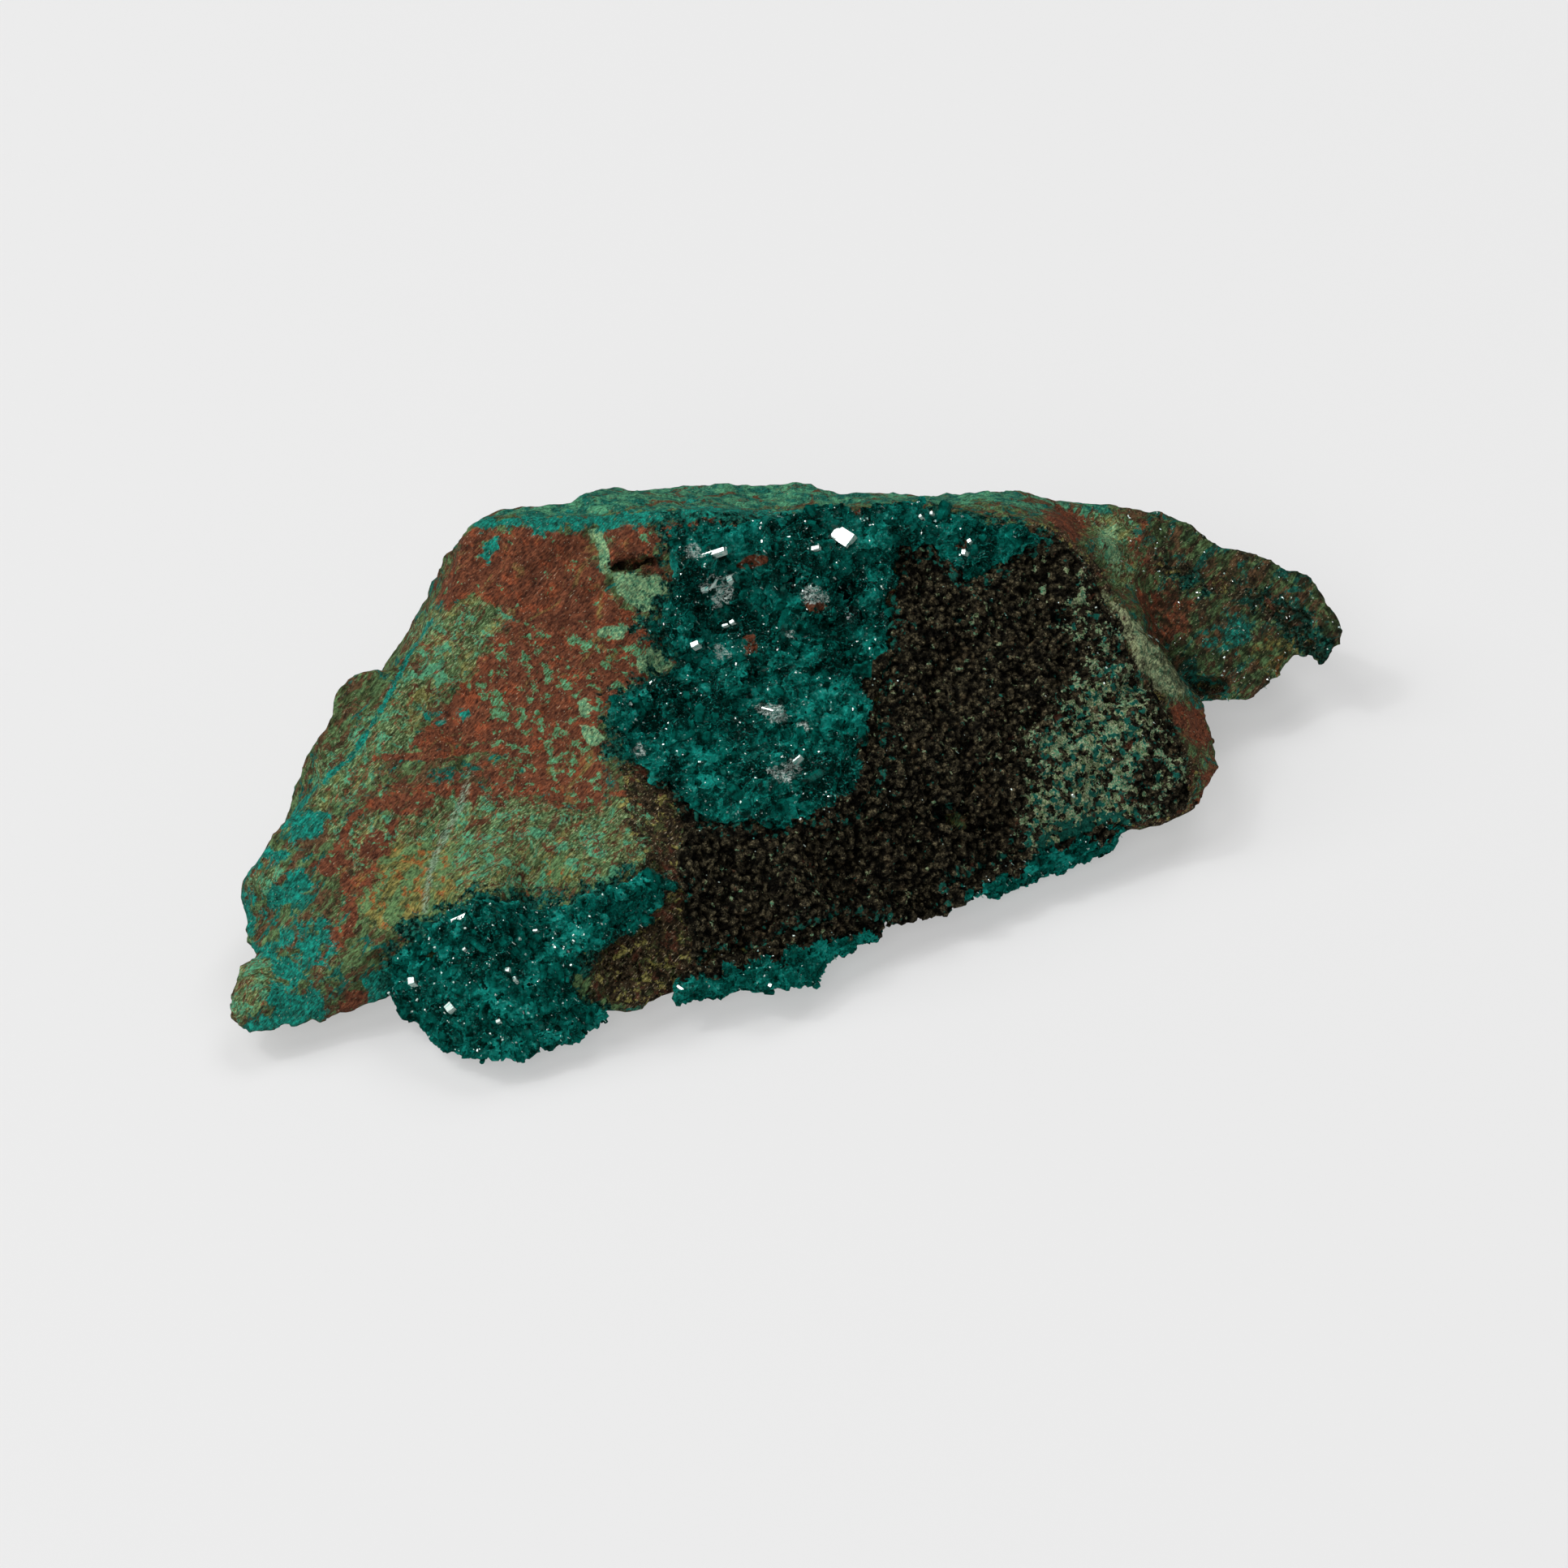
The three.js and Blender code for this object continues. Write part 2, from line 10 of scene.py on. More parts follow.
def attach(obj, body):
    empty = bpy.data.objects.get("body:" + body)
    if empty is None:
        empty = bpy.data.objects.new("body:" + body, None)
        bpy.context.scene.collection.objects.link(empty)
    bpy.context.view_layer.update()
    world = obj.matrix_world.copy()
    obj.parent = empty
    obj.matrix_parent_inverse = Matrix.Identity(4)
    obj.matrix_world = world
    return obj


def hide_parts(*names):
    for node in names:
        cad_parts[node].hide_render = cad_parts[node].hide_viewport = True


bl_info = {
    "name": "Dioptase specimen",
    "version": (1, 0, 0),
    "blender": (4, 5, 0),
    "location": "3D View > Sidebar > Specimen",
    "description": "Builds the looks of a dioptase specimen round its solids",
    "category": "Object",
}

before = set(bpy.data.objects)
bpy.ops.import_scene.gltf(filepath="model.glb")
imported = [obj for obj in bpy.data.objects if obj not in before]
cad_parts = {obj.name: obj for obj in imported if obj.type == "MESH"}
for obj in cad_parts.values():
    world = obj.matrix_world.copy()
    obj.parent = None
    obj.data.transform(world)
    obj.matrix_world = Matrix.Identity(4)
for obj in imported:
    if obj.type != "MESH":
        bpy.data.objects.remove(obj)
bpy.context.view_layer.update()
# Without a seed, the vector noise starts from the clock.
NOISE_SEED = 4
noise.seed_set(NOISE_SEED)

# The picture plane of the display face: its tilt, and where its zero lies in the specimen's frame, in
# millimetres.
VIEW_TILT = math.radians(38)
PLANE_X = 0.67
PLANE_Y = 34.64
TO_VIEWER = Vector((0, -math.cos(VIEW_TILT), math.sin(VIEW_TILT)))
# The grain of the rock runs down the display face to the left.
FIBRE = Vector((-0.62, -0.55, -0.45)).normalized()
KEY_DIRECTION = Vector((-0.62, -0.05, 0.78)).normalized()
# The light table's own glow, the grey world round it and the disc lights: direction, diameter in metres,
# power in watts, and whether the crystals mirror it.
TABLE_GLOW = 0.415
WORLD_GLOW = 0.23
LIGHT_DISTANCE = 3.0
LIGHTS = {
    "key_light": (KEY_DIRECTION, 2.7, 48, False),
    "glint_light": (KEY_DIRECTION + Vector((0.05, 0.02, 0)), 0.45, 13, True),
    "front_light": (Vector((-0.25, -1.0, 0.75)), 1.6, 28, False),
    "back_light": (Vector((0.3, 0.6, 1.0)), 1.6, 24, False),
}
# The camera looks at this point, in millimetres, from this far away, in metres.
CAMERA_TARGET = Vector((-0.3 - PLANE_X, -10 - 0.64, 14))
CAMERA_DISTANCE = 1.158
# The druses never reach below this height over the table, in millimetres.
LOWEST = 0.03
# A flake of cleaved crystal: its number of corners, and how far it reaches down into its bed.
FLAKE_CORNERS = 4
FLAKE_ROOT = 0.5
# How many faces are tried for each crystal that is to grow.
TRIES_PER_CRYSTAL = 20
# Painted shade: near-black colours laid into the deepest pits and the gaps between the crust's nodules, in
# linear light.
ROCK_PIT_SHADE = (0.012, 0.005, 0.003)
CRUST_GAP_SHADE = (0.001, 0.001, 0.0007)
DRUSE_PIT_SHADE = (0.0003, 0.004, 0.003)
# A crystal's three end faces fall this far from its tip, where the prism is 1 across from its axis.
RHOMB_DROP = 0.615
DIOPTASE_IOR = 1.66

# Stains and coatings on the display face, outlined across and up the picture plane, in millimetres.
RED_STAIN = (
    ((-28.1, 48.8), (-23.0, 48.7), (-18.3, 48.8), (-17.4, 47.3), (-16.4, 45.0), (-15.8, 42.8),
     (-14.7, 41.9), (-12.9, 40.5), (-12.2, 39.1), (-8.3, 38.3), (-8.8, 36.9), (-11.4, 36.5), (-12.2, 35.6),
     (-14.4, 34.2), (-16.0, 32.0), (-16.7, 30.2), (-16.2, 27.0), (-15.7, 24.1), (-17.8, 23.4),
     (-20.1, 24.5), (-22.7, 25.9), (-23.7, 28.1), (-26.6, 29.3), (-29.5, 29.0), (-32.4, 28.4),
     (-33.3, 29.4), (-30.6, 32.5), (-27.6, 36.8), (-26.0, 38.7), (-24.5, 40.3), (-25.3, 41.9),
     (-27.9, 42.7), (-30.6, 41.7), (-31.2, 43.4), (-29.5, 47.0)),
    ((-16.2, 48.6), (-12.2, 48.7), (-8.6, 49.2), (-2.5, 49.3), (-2.9, 48.4), (-8.6, 48.2), (-11.2, 47.3),
     (-11.4, 45.7), (-10.2, 43.9), (-11.4, 43.4), (-12.2, 45.0), (-15.5, 45.0), (-16.0, 46.4)),
    ((-36.9, 24.7), (-32.1, 25.2), (-31.1, 24.0), (-34.4, 23.2), (-37.1, 23.4)),
    ((-42.1, 18.4), (-40.3, 19.8), (-38.6, 20.4), (-38.4, 18.3), (-40.6, 17.3)),
    ((-38.8, 13.8), (-38.4, 12.2), (-41.2, 10.5), (-42.9, 9.1), (-43.0, 9.7), (-41.0, 11.9)),
    ((33.5, 33.1), (35.6, 32.9), (37.8, 32.6), (38.3, 30.6), (38.1, 28.8), (37.1, 28.8), (35.3, 30.1)),
    ((37.4, 28.4), (38.4, 27.3), (38.1, 25.2), (36.0, 22.8), (32.1, 21.8), (31.8, 22.5), (35.3, 24.1),
     (37.1, 25.9)),
    ((23.1, 50.4), (26.5, 50.3), (26.8, 47.8), (25.9, 46.4), (24.5, 47.8)),
    ((-38.8, 7.2), (-37.8, 7.9), (-36.0, 7.2), (-37.1, 6.1), (-40.6, 5.4)),
)
PALE_COATING = (
    ((-15.8, 44.8), (-14.4, 45.0), (-12.3, 44.8), (-10.4, 43.5), (-11.6, 42.2), (-12.3, 40.6),
     (-13.9, 41.9), (-15.0, 42.9)),
    ((-17.7, 48.6), (-16.8, 48.6), (-15.8, 45.7), (-15.5, 44.5), (-16.4, 44.5), (-16.9, 47.0)),
    ((-13.5, 37.6), (-11.2, 37.8), (-10.2, 36.5), (-12.2, 35.6), (-13.2, 36.3)),
    ((-19.0, 32.9), (-18.0, 33.5), (-17.2, 32.2), (-18.3, 31.6)),
    ((-18.4, 31.3), (-16.8, 31.0), (-16.4, 29.7), (-17.8, 29.5)),
    ((-16.5, 40.1), (-14.5, 39.9), (-14.7, 38.8), (-16.3, 38.9)),
)
TEAL_COATING = (
    # Along the crest: blue-green coating, partly a painted highlight on the edge.
    ((-28.1, 49.7), (-23.0, 49.4), (-16.5, 49.7), (-8.6, 50.4), (-0.7, 50.4), (2.5, 49.9), (-0.7, 49.1),
     (-8.6, 49.3), (-16.5, 48.7), (-23.0, 48.4), (-27.7, 48.6)),
    ((-46.7, 20.1), (-44.0, 20.7), (-44.2, 19.1), (-46.7, 18.2), (-47.8, 18.2)),
    ((-46.0, 14.7), (-45.5, 16.5), (-44.0, 17.8), (-42.2, 18.0), (-41.9, 16.5), (-43.0, 15.8),
     (-44.6, 14.9)),
    ((-43.5, 22.9), (-39.9, 23.5), (-40.6, 22.1), (-42.2, 20.9), (-44.0, 20.6)),
    ((-45.5, 8.2), (-43.2, 7.9), (-40.4, 7.4), (-41.0, 5.3), (-43.5, 3.8), (-48.2, 3.0), (-48.5, 4.1),
     (-46.0, 5.0)),
    ((-47.3, 12.0), (-45.3, 11.4), (-43.3, 10.8), (-41.9, 8.4), (-43.5, 8.0), (-45.3, 9.2)),
    ((-48.4, 16.3), (-47.3, 16.2), (-46.8, 13.3), (-47.1, 11.0), (-48.2, 13.2)),
    ((-29.5, 32.1), (-28.5, 31.9), (-28.6, 31.2), (-29.4, 31.2)),
    ((-32.4, 32.4), (-30.9, 32.5), (-30.9, 31.6), (-32.1, 31.3)),
    ((-38.1, 8.6), (-36.0, 9.4), (-33.8, 10.4), (-32.9, 7.9), (-33.8, 6.7), (-36.3, 6.4)),
    ((35.3, 35.6), (38.1, 35.5), (40.6, 34.5), (40.3, 33.2), (37.1, 33.3), (35.4, 34.4)),
    ((-26.3, 48.2), (-25.6, 47.7), (-26.2, 45.0), (-27.5, 44.8), (-27.2, 46.4)),
)
GREEN_MOTTLE = (
    ((-31.0, 41.4), (-27.9, 42.7), (-25.6, 42.5), (-24.5, 41.4), (-26.0, 39.1), (-27.6, 36.8),
     (-30.4, 33.7), (-31.4, 32.5), (-32.7, 30.0), (-35.3, 28.1), (-36.7, 26.3), (-38.8, 24.5),
     (-41.0, 23.4), (-42.4, 24.1), (-41.4, 28.4), (-38.1, 30.6), (-35.3, 33.9), (-34.1, 36.8),
     (-33.3, 39.9), (-31.4, 41.4)),
    ((-41.0, 23.4), (-35.3, 22.7), (-29.5, 26.3), (-23.7, 24.8), (-18.0, 23.4), (-12.9, 24.8),
     (-10.1, 21.9), (-9.4, 17.6), (-12.2, 16.9), (-19.4, 16.9), (-25.2, 15.5), (-29.5, 13.3), (-35.3, 12.6),
     (-38.1, 14.7), (-38.8, 19.8), (-40.3, 21.2)),
    ((-50.4, 7.2), (-49.3, 9.7), (-46.9, 11.0), (-45.0, 10.3), (-43.9, 7.6), (-46.3, 6.1), (-48.4, 4.0)),
    ((-47.3, 18.0), (-45.0, 18.9), (-44.3, 18.0), (-45.7, 16.4), (-47.6, 16.2)),
    ((-22.5, 29.8), (-20.6, 30.2), (-19.3, 29.8), (-17.9, 29.1), (-16.5, 27.5), (-16.5, 25.5),
     (-19.4, 25.2), (-20.1, 27.7)),
    ((27.2, 50.2), (30.9, 49.6), (31.8, 45.0), (30.2, 43.0), (28.8, 44.7), (27.6, 47.4)),
    ((28.0, 43.6), (30.2, 41.2), (32.5, 39.0), (34.9, 36.6), (36.7, 34.2), (35.5, 33.2), (33.2, 33.0),
     (32.3, 34.4), (30.9, 36.3), (29.6, 38.6), (28.4, 41.4)),
)
TOP_STRIP = (
    ((-28.2, 50.2), (-24.0, 49.6), (-16.0, 49.9), (-8.0, 50.5), (0.0, 50.4), (8.0, 51.2), (18.0, 50.8),
     (24.0, 50.4), (29.0, 49.9), (29.0, 54.0), (8.0, 55.0), (-8.0, 55.0), (-22.0, 54.0)),
)
OCHRE_STAIN = (
    ((-35.3, 20.5), (-29.5, 20.5), (-28.4, 16.9), (-29.5, 14.0), (-33.8, 12.9), (-38.1, 14.0),
     (-38.5, 16.9)),
    ((-21.9, 19.1), (-19.4, 19.8), (-18.6, 17.6), (-20.1, 16.5), (-21.7, 17.3)),
    ((-28.7, 32.9), (-26.8, 35.8), (-24.5, 38.3), (-25.0, 36.7), (-26.6, 34.5), (-28.1, 32.6)),
    ((-29.5, 30.6), (-28.1, 31.3), (-27.3, 29.1), (-29.1, 28.8)),
    ((21.1, 48.7), (22.3, 49.1), (23.2, 48.1), (22.2, 47.6)),
    ((42.2, 38.5), (45.3, 39.2), (48.3, 37.8), (48.2, 35.8), (44.6, 35.9), (42.4, 36.5)),
    ((-20.1, 11.2), (-15.8, 12.6), (-14.7, 9.0), (-16.5, 5.0), (-19.4, 6.1)),
)
GREY_STREAK = ((-28.1, 26.7), (-28.9, 23.8), (-30.2, 21.5), (-31.1, 19.2), (-31.7, 16.9), (-31.9, 14.6))
DARK_REMNANT = (
    ((-15.8, 14.6), (-7.2, 16.9), (-7.2, 7.7), (-13.5, 6.0), (-17.6, 7.7)),
    ((-14.4, 27.3), (-8.6, 23.4), (-9.0, 20.5), (-7.9, 16.2), (-7.2, 9.7), (-10.1, 9.7), (-11.2, 14.0),
     (-10.4, 19.1), (-12.2, 22.7), (-14.4, 25.5)),
    ((-15.6, 45.7), (-12.9, 46.3), (-11.4, 46.0), (-11.8, 45.3), (-14.4, 44.8)),
    ((36.0, 35.0), (38.1, 35.0), (40.3, 34.3), (40.0, 33.6), (37.3, 33.7)),
)

# Where the dark crust is speckled with pale green and teal.
SPECKLED = (
    ((22.7, 31.5), (24.3, 33.8), (27.1, 35.6), (28.0, 37.5), (30.0, 37.5), (32.5, 33.8), (34.2, 31.5),
     (32.5, 29.2), (31.2, 24.6), (32.1, 22.4), (28.0, 20.5), (22.0, 19.4), (20.9, 21.7), (21.5, 24.6),
     (22.0, 26.9), (21.1, 30.1)),
)
THINLY_SPECKLED = (
    ((25.9, 45.7), (27.3, 45.7), (30.2, 38.5), (29.5, 35.6), (26.6, 35.6), (24.5, 39.9)),
    ((21.8, 43.7), (23.0, 43.9), (23.2, 42.0), (22.0, 41.6)),
    ((16.0, 41.4), (17.6, 41.4), (17.6, 39.8), (16.2, 39.8)),
    ((24.0, 26.0), (33.0, 31.0), (36.5, 28.0), (34.0, 24.0), (26.0, 20.5)),
)
# Pits: place on the picture plane and half sizes.
CRUST_PITS = ((14.4, 23.3, 1.9, 1.0), (8.0, 22.4, 1.2, 0.5), (17.4, 21.8, 1.1, 0.5), (24.3, 40.6, 0.7, 0.5))
ROCK_PITS = ((-12.6, 45.7, 1.6, 0.30), (-14.6, 45.2, 1.4, 0.34))
DRUSE_PITS = (
    (5.0, 40.2, 2.2, 0.5),
    (0.8, 44.6, 1.8, 1.1),
    (5.2, 37.3, 1.1, 0.8),
    (-2.4, 35.6, 0.9, 0.35),
    (5.2, 43.0, 1.0, 1.0),
)
# Stains that cover only part of the ground inside their outlines.
FAINT_STAINS = {
    "red": (
        ((30.4, 43.6), (34.5, 43.8), (37.4, 42.6), (36.4, 39.4), (35.6, 37.9), (33.1, 37.6), (31.0, 40.2)),
        ((31.0, 49.9), (33.0, 49.8), (33.2, 47.2), (34.6, 44.8), (36.8, 43.8), (35.4, 42.8), (32.6, 43.6),
         (30.6, 46.0)),
        ((41.6, 40.9), (43.5, 39.9), (42.5, 37.6), (41.2, 36.3), (40.0, 37.2), (41.0, 38.6)),
        ((36.8, 46.6), (39.0, 46.0), (38.6, 44.8), (36.6, 45.2)),
        ((-36.0, 26.4), (-24.0, 28.6), (-14.0, 25.4), (-16.0, 22.6), (-26.0, 24.0), (-36.4, 23.6)),
        ((-38.6, 20.6), (-34.6, 23.4), (-33.4, 21.6), (-37.0, 15.4), (-39.4, 12.4), (-40.6, 14.0)),
    ),
    "teal": (
        ((36.5, 38.1), (38.8, 40.3), (41.4, 42.0), (43.0, 41.0), (42.4, 37.6), (39.6, 36.8)),
        ((44.8, 43.6), (47.5, 41.6), (49.8, 39.8), (48.9, 37.4), (47.0, 38.5), (45.4, 40.6)),
        ((-46.0, 14.0), (-40.0, 14.6), (-38.6, 9.6), (-44.0, 8.0)),
    ),
    "pale": (
        ((28.6, 43.5), (30.4, 41.7), (32.4, 39.0), (34.9, 36.6), (36.4, 34.4), (33.4, 33.2), (31.0, 36.6),
         (28.6, 41.0)),
        ((27.2, 50.2), (30.0, 49.6), (30.9, 46.0), (29.6, 43.4), (27.8, 46.2)),
    ),
    "dark": (
        ((33.0, 46.8), (37.9, 46.2), (41.4, 44.2), (46.1, 41.6), (49.8, 38.4), (47.0, 38.0), (42.6, 41.0),
         (37.0, 43.4), (33.2, 44.6)),
        ((-16.0, 25.6), (-10.0, 24.4), (-8.0, 17.0), (-8.0, 10.4), (-12.4, 12.4), (-13.4, 20.0)),
    ),
}
# How strongly these stains, and the lines below, cover the ground.
FAINT = 0.60
WISP_STRENGTH = 0.80
VEIN_STRENGTH = 0.76
GREY_STRENGTH = 0.80
# Where the rock is grown over with fine dark crystals.
DRUSY_COATING = (
    ((33.7, 46.2), (36.4, 45.4), (38.0, 43.0), (35.6, 43.4)),
    ((40.0, 44.0), (46.1, 41.6), (49.4, 38.6), (47.4, 38.2), (43.6, 41.0)),
    ((43.0, 43.0), (46.5, 41.6), (50.0, 38.6), (50.4, 36.0), (48.0, 35.6), (46.4, 38.0), (43.6, 40.6)),
    ((-34.6, 13.4), (-30.6, 15.0), (-27.6, 14.2), (-30.4, 11.4), (-34.0, 10.6)),
    ((-14.0, 17.4), (-10.4, 18.4), (-10.0, 15.6), (-13.2, 14.0), (-19.0, 14.4), (-19.6, 16.0)),
    ((-19.6, 11.0), (-14.6, 12.4), (-11.4, 10.4), (-13.0, 8.6), (-18.0, 9.0)),
)
# Where the red stain is full of pale flecks.
FLECKED = (
    ((-25.0, 40.0), (-17.0, 41.0), (-12.0, 38.0), (-15.0, 33.0), (-15.6, 25.0), (-22.0, 25.0),
     (-27.0, 29.0), (-28.0, 35.0)),
)
# Fine blue-green veins on the display face, each with its half width, and wisps of the red stain. The second
# vein runs along the crest: blue-green coating, partly a painted highlight on the edge.
WISP_HALF_WIDTH = 0.75
GREY_HALF_WIDTH = 0.65
VEINS = (
    (((-31.7, 40.3), (-33.3, 37.9), (-35.3, 33.7), (-38.4, 28.4), (-42.1, 25.2), (-44.6, 22.0)), 0.6),
    (((-28.6, 49.0), (-23.0, 49.1), (-16.5, 49.4), (-8.6, 50.0), (-2.0, 50.0)), 1.0),
)
WISPS = (
    ((-36.5, 28.1), (-31.4, 28.3), (-24.5, 29.3), (-19.3, 30.1), (-15.8, 29.3)),
    ((-40.0, 19.2), (-38.6, 22.7), (-36.5, 24.4), (-33.1, 24.5), (-29.1, 25.7), (-26.8, 25.0)),
    ((-23.3, 26.7), (-20.4, 23.8), (-18.1, 25.3), (-14.1, 24.9), (-10.6, 22.4)),
    ((-39.4, 19.2), (-38.8, 16.3), (-38.0, 14.3), (-39.4, 11.7), (-41.7, 10.0)),
    ((-25.3, 37.1), (-27.3, 34.8), (-30.2, 32.4), (-33.1, 29.3)),
)
# The dry, pale side of the ridge beside the dark crust.
RIDGE = (
    ((28.4, 42.8), (30.2, 41.2), (32.4, 38.8), (34.7, 36.4), (36.0, 34.4), (33.8, 33.8), (31.2, 36.8),
     (28.8, 41.0)),
)
# Where the dark crust has grown over the margin of the main druse.
CRUSTED = (
    ((9.9, 38.3), (8.0, 37.7), (6.9, 35.2), (8.2, 33.0), (7.1, 31.7), (6.2, 28.2), (6.4, 26.4), (4.0, 24.0),
     (0.5, 22.6), (0.5, 18.0), (14.0, 18.0), (14.0, 38.3)),
)
# Brown inclusions in the main druse.
INCLUSIONS = (
    ((-4.9, 45.2), (-4.0, 46.0), (-2.6, 46.3), (-1.6, 45.7), (-2.2, 45.1), (-4.3, 44.8)),
    ((5.9, 50.5), (7.2, 50.4), (7.1, 49.7), (6.0, 49.8)),
    ((-4.2, 39.0), (-3.0, 39.2), (-2.8, 37.4), (-3.8, 37.0)),
    ((1.6, 42.4), (3.4, 42.2), (3.6, 41.4), (2.2, 41.2)),
    ((15.0, 47.0), (16.0, 47.4), (16.2, 46.4)),
)
# Silvered, cracked patches of the main druse, its darker hollows and its brighter parts.
SILVER_PATCHES = (
    ((-7.8, 43.4), (-6.6, 44.2), (-4.6, 44.5), (-4.8, 43.2), (-5.4, 41.8), (-6.4, 41.7), (-6.9, 42.8)),
    ((1.2, 42.8), (2.2, 43.8), (3.5, 43.2), (3.7, 42.2), (2.4, 42.0), (1.4, 42.2)),
    ((-6.6, 37.9), (-5.6, 38.1), (-4.9, 37.2), (-5.9, 36.7)),
    ((-0.4, 39.3), (0.8, 39.3), (0.7, 38.6), (-0.2, 38.7)),
    ((-2.8, 32.6), (-0.6, 32.8), (0.0, 31.6), (-1.2, 31.2)),
    ((0.8, 31.2), (1.6, 31.5), (2.1, 30.6), (1.2, 30.1)),
    ((-1.7, 27.2), (0.6, 28.2), (1.4, 27.2), (0.0, 26.0), (-1.2, 26.2)),
    ((-9.4, 46.8), (-8.0, 47.4), (-7.6, 46.2), (-8.8, 45.8)),
    ((-13.6, 29.2), (-12.8, 29.6), (-12.4, 28.6), (-13.2, 28.2)),
)
DEEP_PARTS = (
    ((-1.4, 45.6), (1.4, 46.4), (3.0, 44.8), (1.2, 43.2), (-0.6, 43.0)),
    ((3.2, 40.6), (6.9, 40.7), (6.8, 39.7), (3.3, 39.4)),
    ((4.2, 38.4), (6.4, 38.4), (6.2, 36.2), (4.4, 36.3)),
    ((4.2, 43.6), (6.6, 44.4), (6.4, 42.0), (4.4, 42.0)),
    ((-12.2, 35.6), (-5.0, 34.0), (-5.4, 31.4), (-12.4, 31.4)),
    ((0.6, 27.8), (5.4, 27.8), (5.9, 24.8), (2.4, 24.4), (0.8, 25.6)),
    ((-3.2, 50.0), (2.6, 49.6), (3.2, 47.6), (-1.2, 47.4)),
    ((-7.0, 40.8), (-2.0, 41.2), (-2.0, 39.8), (-6.8, 39.4)),
)
BRIGHT_PARTS = (
    ((-7.4, 25.4), (-2.8, 26.4), (1.0, 24.2), (-2.6, 21.4), (-6.0, 22.6)),
    ((-13.4, 34.0), (-12.2, 34.8), (-12.0, 30.0), (-13.6, 29.4)),
    ((6.6, 49.8), (12.0, 50.6), (16.6, 49.2), (16.4, 47.6), (9.4, 47.8)),
    ((-11.4, 47.8), (-6.0, 48.2), (-6.2, 46.8), (-10.8, 46.4)),
)
# Cleavage faces that catch the light: place on the picture plane, half sizes, turn in degrees.
FLASHES = (
    (4.7, 48.0, 1.50, 0.92, -34),
    (-6.5, 46.2, 1.10, 0.26, 12),
    (2.2, 46.6, 0.80, 0.24, 6),
    (-8.1, 38.1, 0.36, 0.30, 20),
    (-4.8, 40.1, 0.20, 0.20, 25),
    (-5.4, 39.8, 0.25, 0.13, 10),
    (-13.6, 32.8, 0.55, 0.24, 25),
    (-6.4, 43.4, 0.60, 0.18, 60),
    (-5.0, 43.9, 0.24, 0.40, 15),
    (-7.2, 43.0, 0.36, 0.24, 0),
    (-1.6, 32.3, 0.60, 0.10, -20),
    (0.6, 27.6, 0.90, 0.09, 38),
    (15.9, 46.4, 0.18, 0.30, 0),
    (16.4, 47.4, 0.18, 0.22, 30),
    (12.0, 49.6, 0.16, 0.16, 30),
    (13.0, 49.9, 0.14, 0.18, 0),
)
CORNER_FLASHES = (
    (-32.9, 8.4, 0.30, 0.38, 10),
    (-29.5, 6.1, 0.36, 0.48, 40),
    (-24.4, 9.4, 0.20, 0.24, 0),
    (-23.8, 8.6, 0.16, 0.22, 20),
    (-25.2, 4.9, 0.20, 0.16, 20),
    (-28.2, 11.2, 0.16, 0.12, 40),
    (-22.0, 12.8, 0.20, 0.12, 0),
)
# Glitter, tiny near-white faces that are partly painted glints: how many tiny faces, and the corners of the
# part of the picture plane that they lie in.
CRUST_GLITTER = (150, (-9, 8), (39, 49))
LOBE_GLITTER = (120, (29, 33), (51, 51))
# Each druse: the size of its cleavage faces in millimetres, its number of crystals, how pale its mass is,
# how readily the dark crust covers it where they meet, its flashes and glitter, and its random seed.
DRUSES = {
    "dioptase_main_druse": {
        "facet": 2.3, "crystals": 1100, "pale": 0.1, "crusting": None,
        "flashes": FLASHES, "glitter": (520, (-15, 20), (17, 52)), "seed": 5,
    },
    "dioptase_corner_druse": {
        "facet": 1.5, "crystals": 1300, "pale": 0.7, "crusting": 0.62,
        "flashes": CORNER_FLASHES, "glitter": (420, (-37, 0), (-8, 18)), "seed": 7,
    },
    "dioptase_edge_druse": {
        "facet": 1.2, "crystals": 500, "pale": 0.9, "crusting": 0.76,
        "flashes": (), "glitter": (90, (-9, 3), (13, 15)), "seed": 11,
    },
    "dioptase_right_edge_druse": {
        "facet": 1.2, "crystals": 300, "pale": 0.9, "crusting": 0.62,
        "flashes": (), "glitter": (120, (12, 13), (32, 24)), "seed": 13,
    },
}
SKINS = ("dark_crust", *DRUSES)


def picked(piece):
    """Selects one piece alone and makes it the active one."""
    bpy.ops.object.select_all(action="DESELECT")
    piece.select_set(True)
    bpy.context.view_layer.objects.active = piece


def shaped(piece, kind, **settings):
    """Applies one modifier to a piece."""
    modifier = piece.modifiers.new(kind.title(), kind)
    for key, value in settings.items():
        setattr(modifier, key, value)
    picked(piece)
    bpy.ops.object.modifier_apply(modifier=modifier.name)


def cad_copy(node, name):
    """A merged copy of a CAD node, in millimetres while it is worked on."""
    piece = bpy.data.objects.new(name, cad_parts[node].data.copy())
    bpy.context.scene.collection.objects.link(piece)
    piece.data.transform(Matrix.Scale(1000, 4))
    piece.data.materials.clear()
    picked(piece)
    bpy.ops.object.mode_set(mode="EDIT")
    bpy.ops.mesh.select_all(action="SELECT")
    bpy.ops.mesh.remove_doubles(threshold=0.001)
    bpy.ops.object.mode_set(mode="OBJECT")
    return piece


def numbers_of(items, attribute, width=1):
    """One attribute of all items of a mesh, as an array with a row for each."""
    flat = np.empty(len(items) * width, np.float32)
    items.foreach_get(attribute, flat)
    return flat.reshape(-1, width).astype(float) if width > 1 else flat.astype(float)


def places_of(piece):
    return numbers_of(piece.data.vertices, "co", 3)


def normals_of(piece):
    return numbers_of(piece.data.vertex_normals, "vector", 3)


def put(piece, places):
    piece.data.vertices.foreach_set("co", places.astype(np.float32).ravel())
    piece.data.update()


def noisy(places, source):
    """What a function of place gives for each place."""
    return np.array([source(Vector(place)) for place in places])


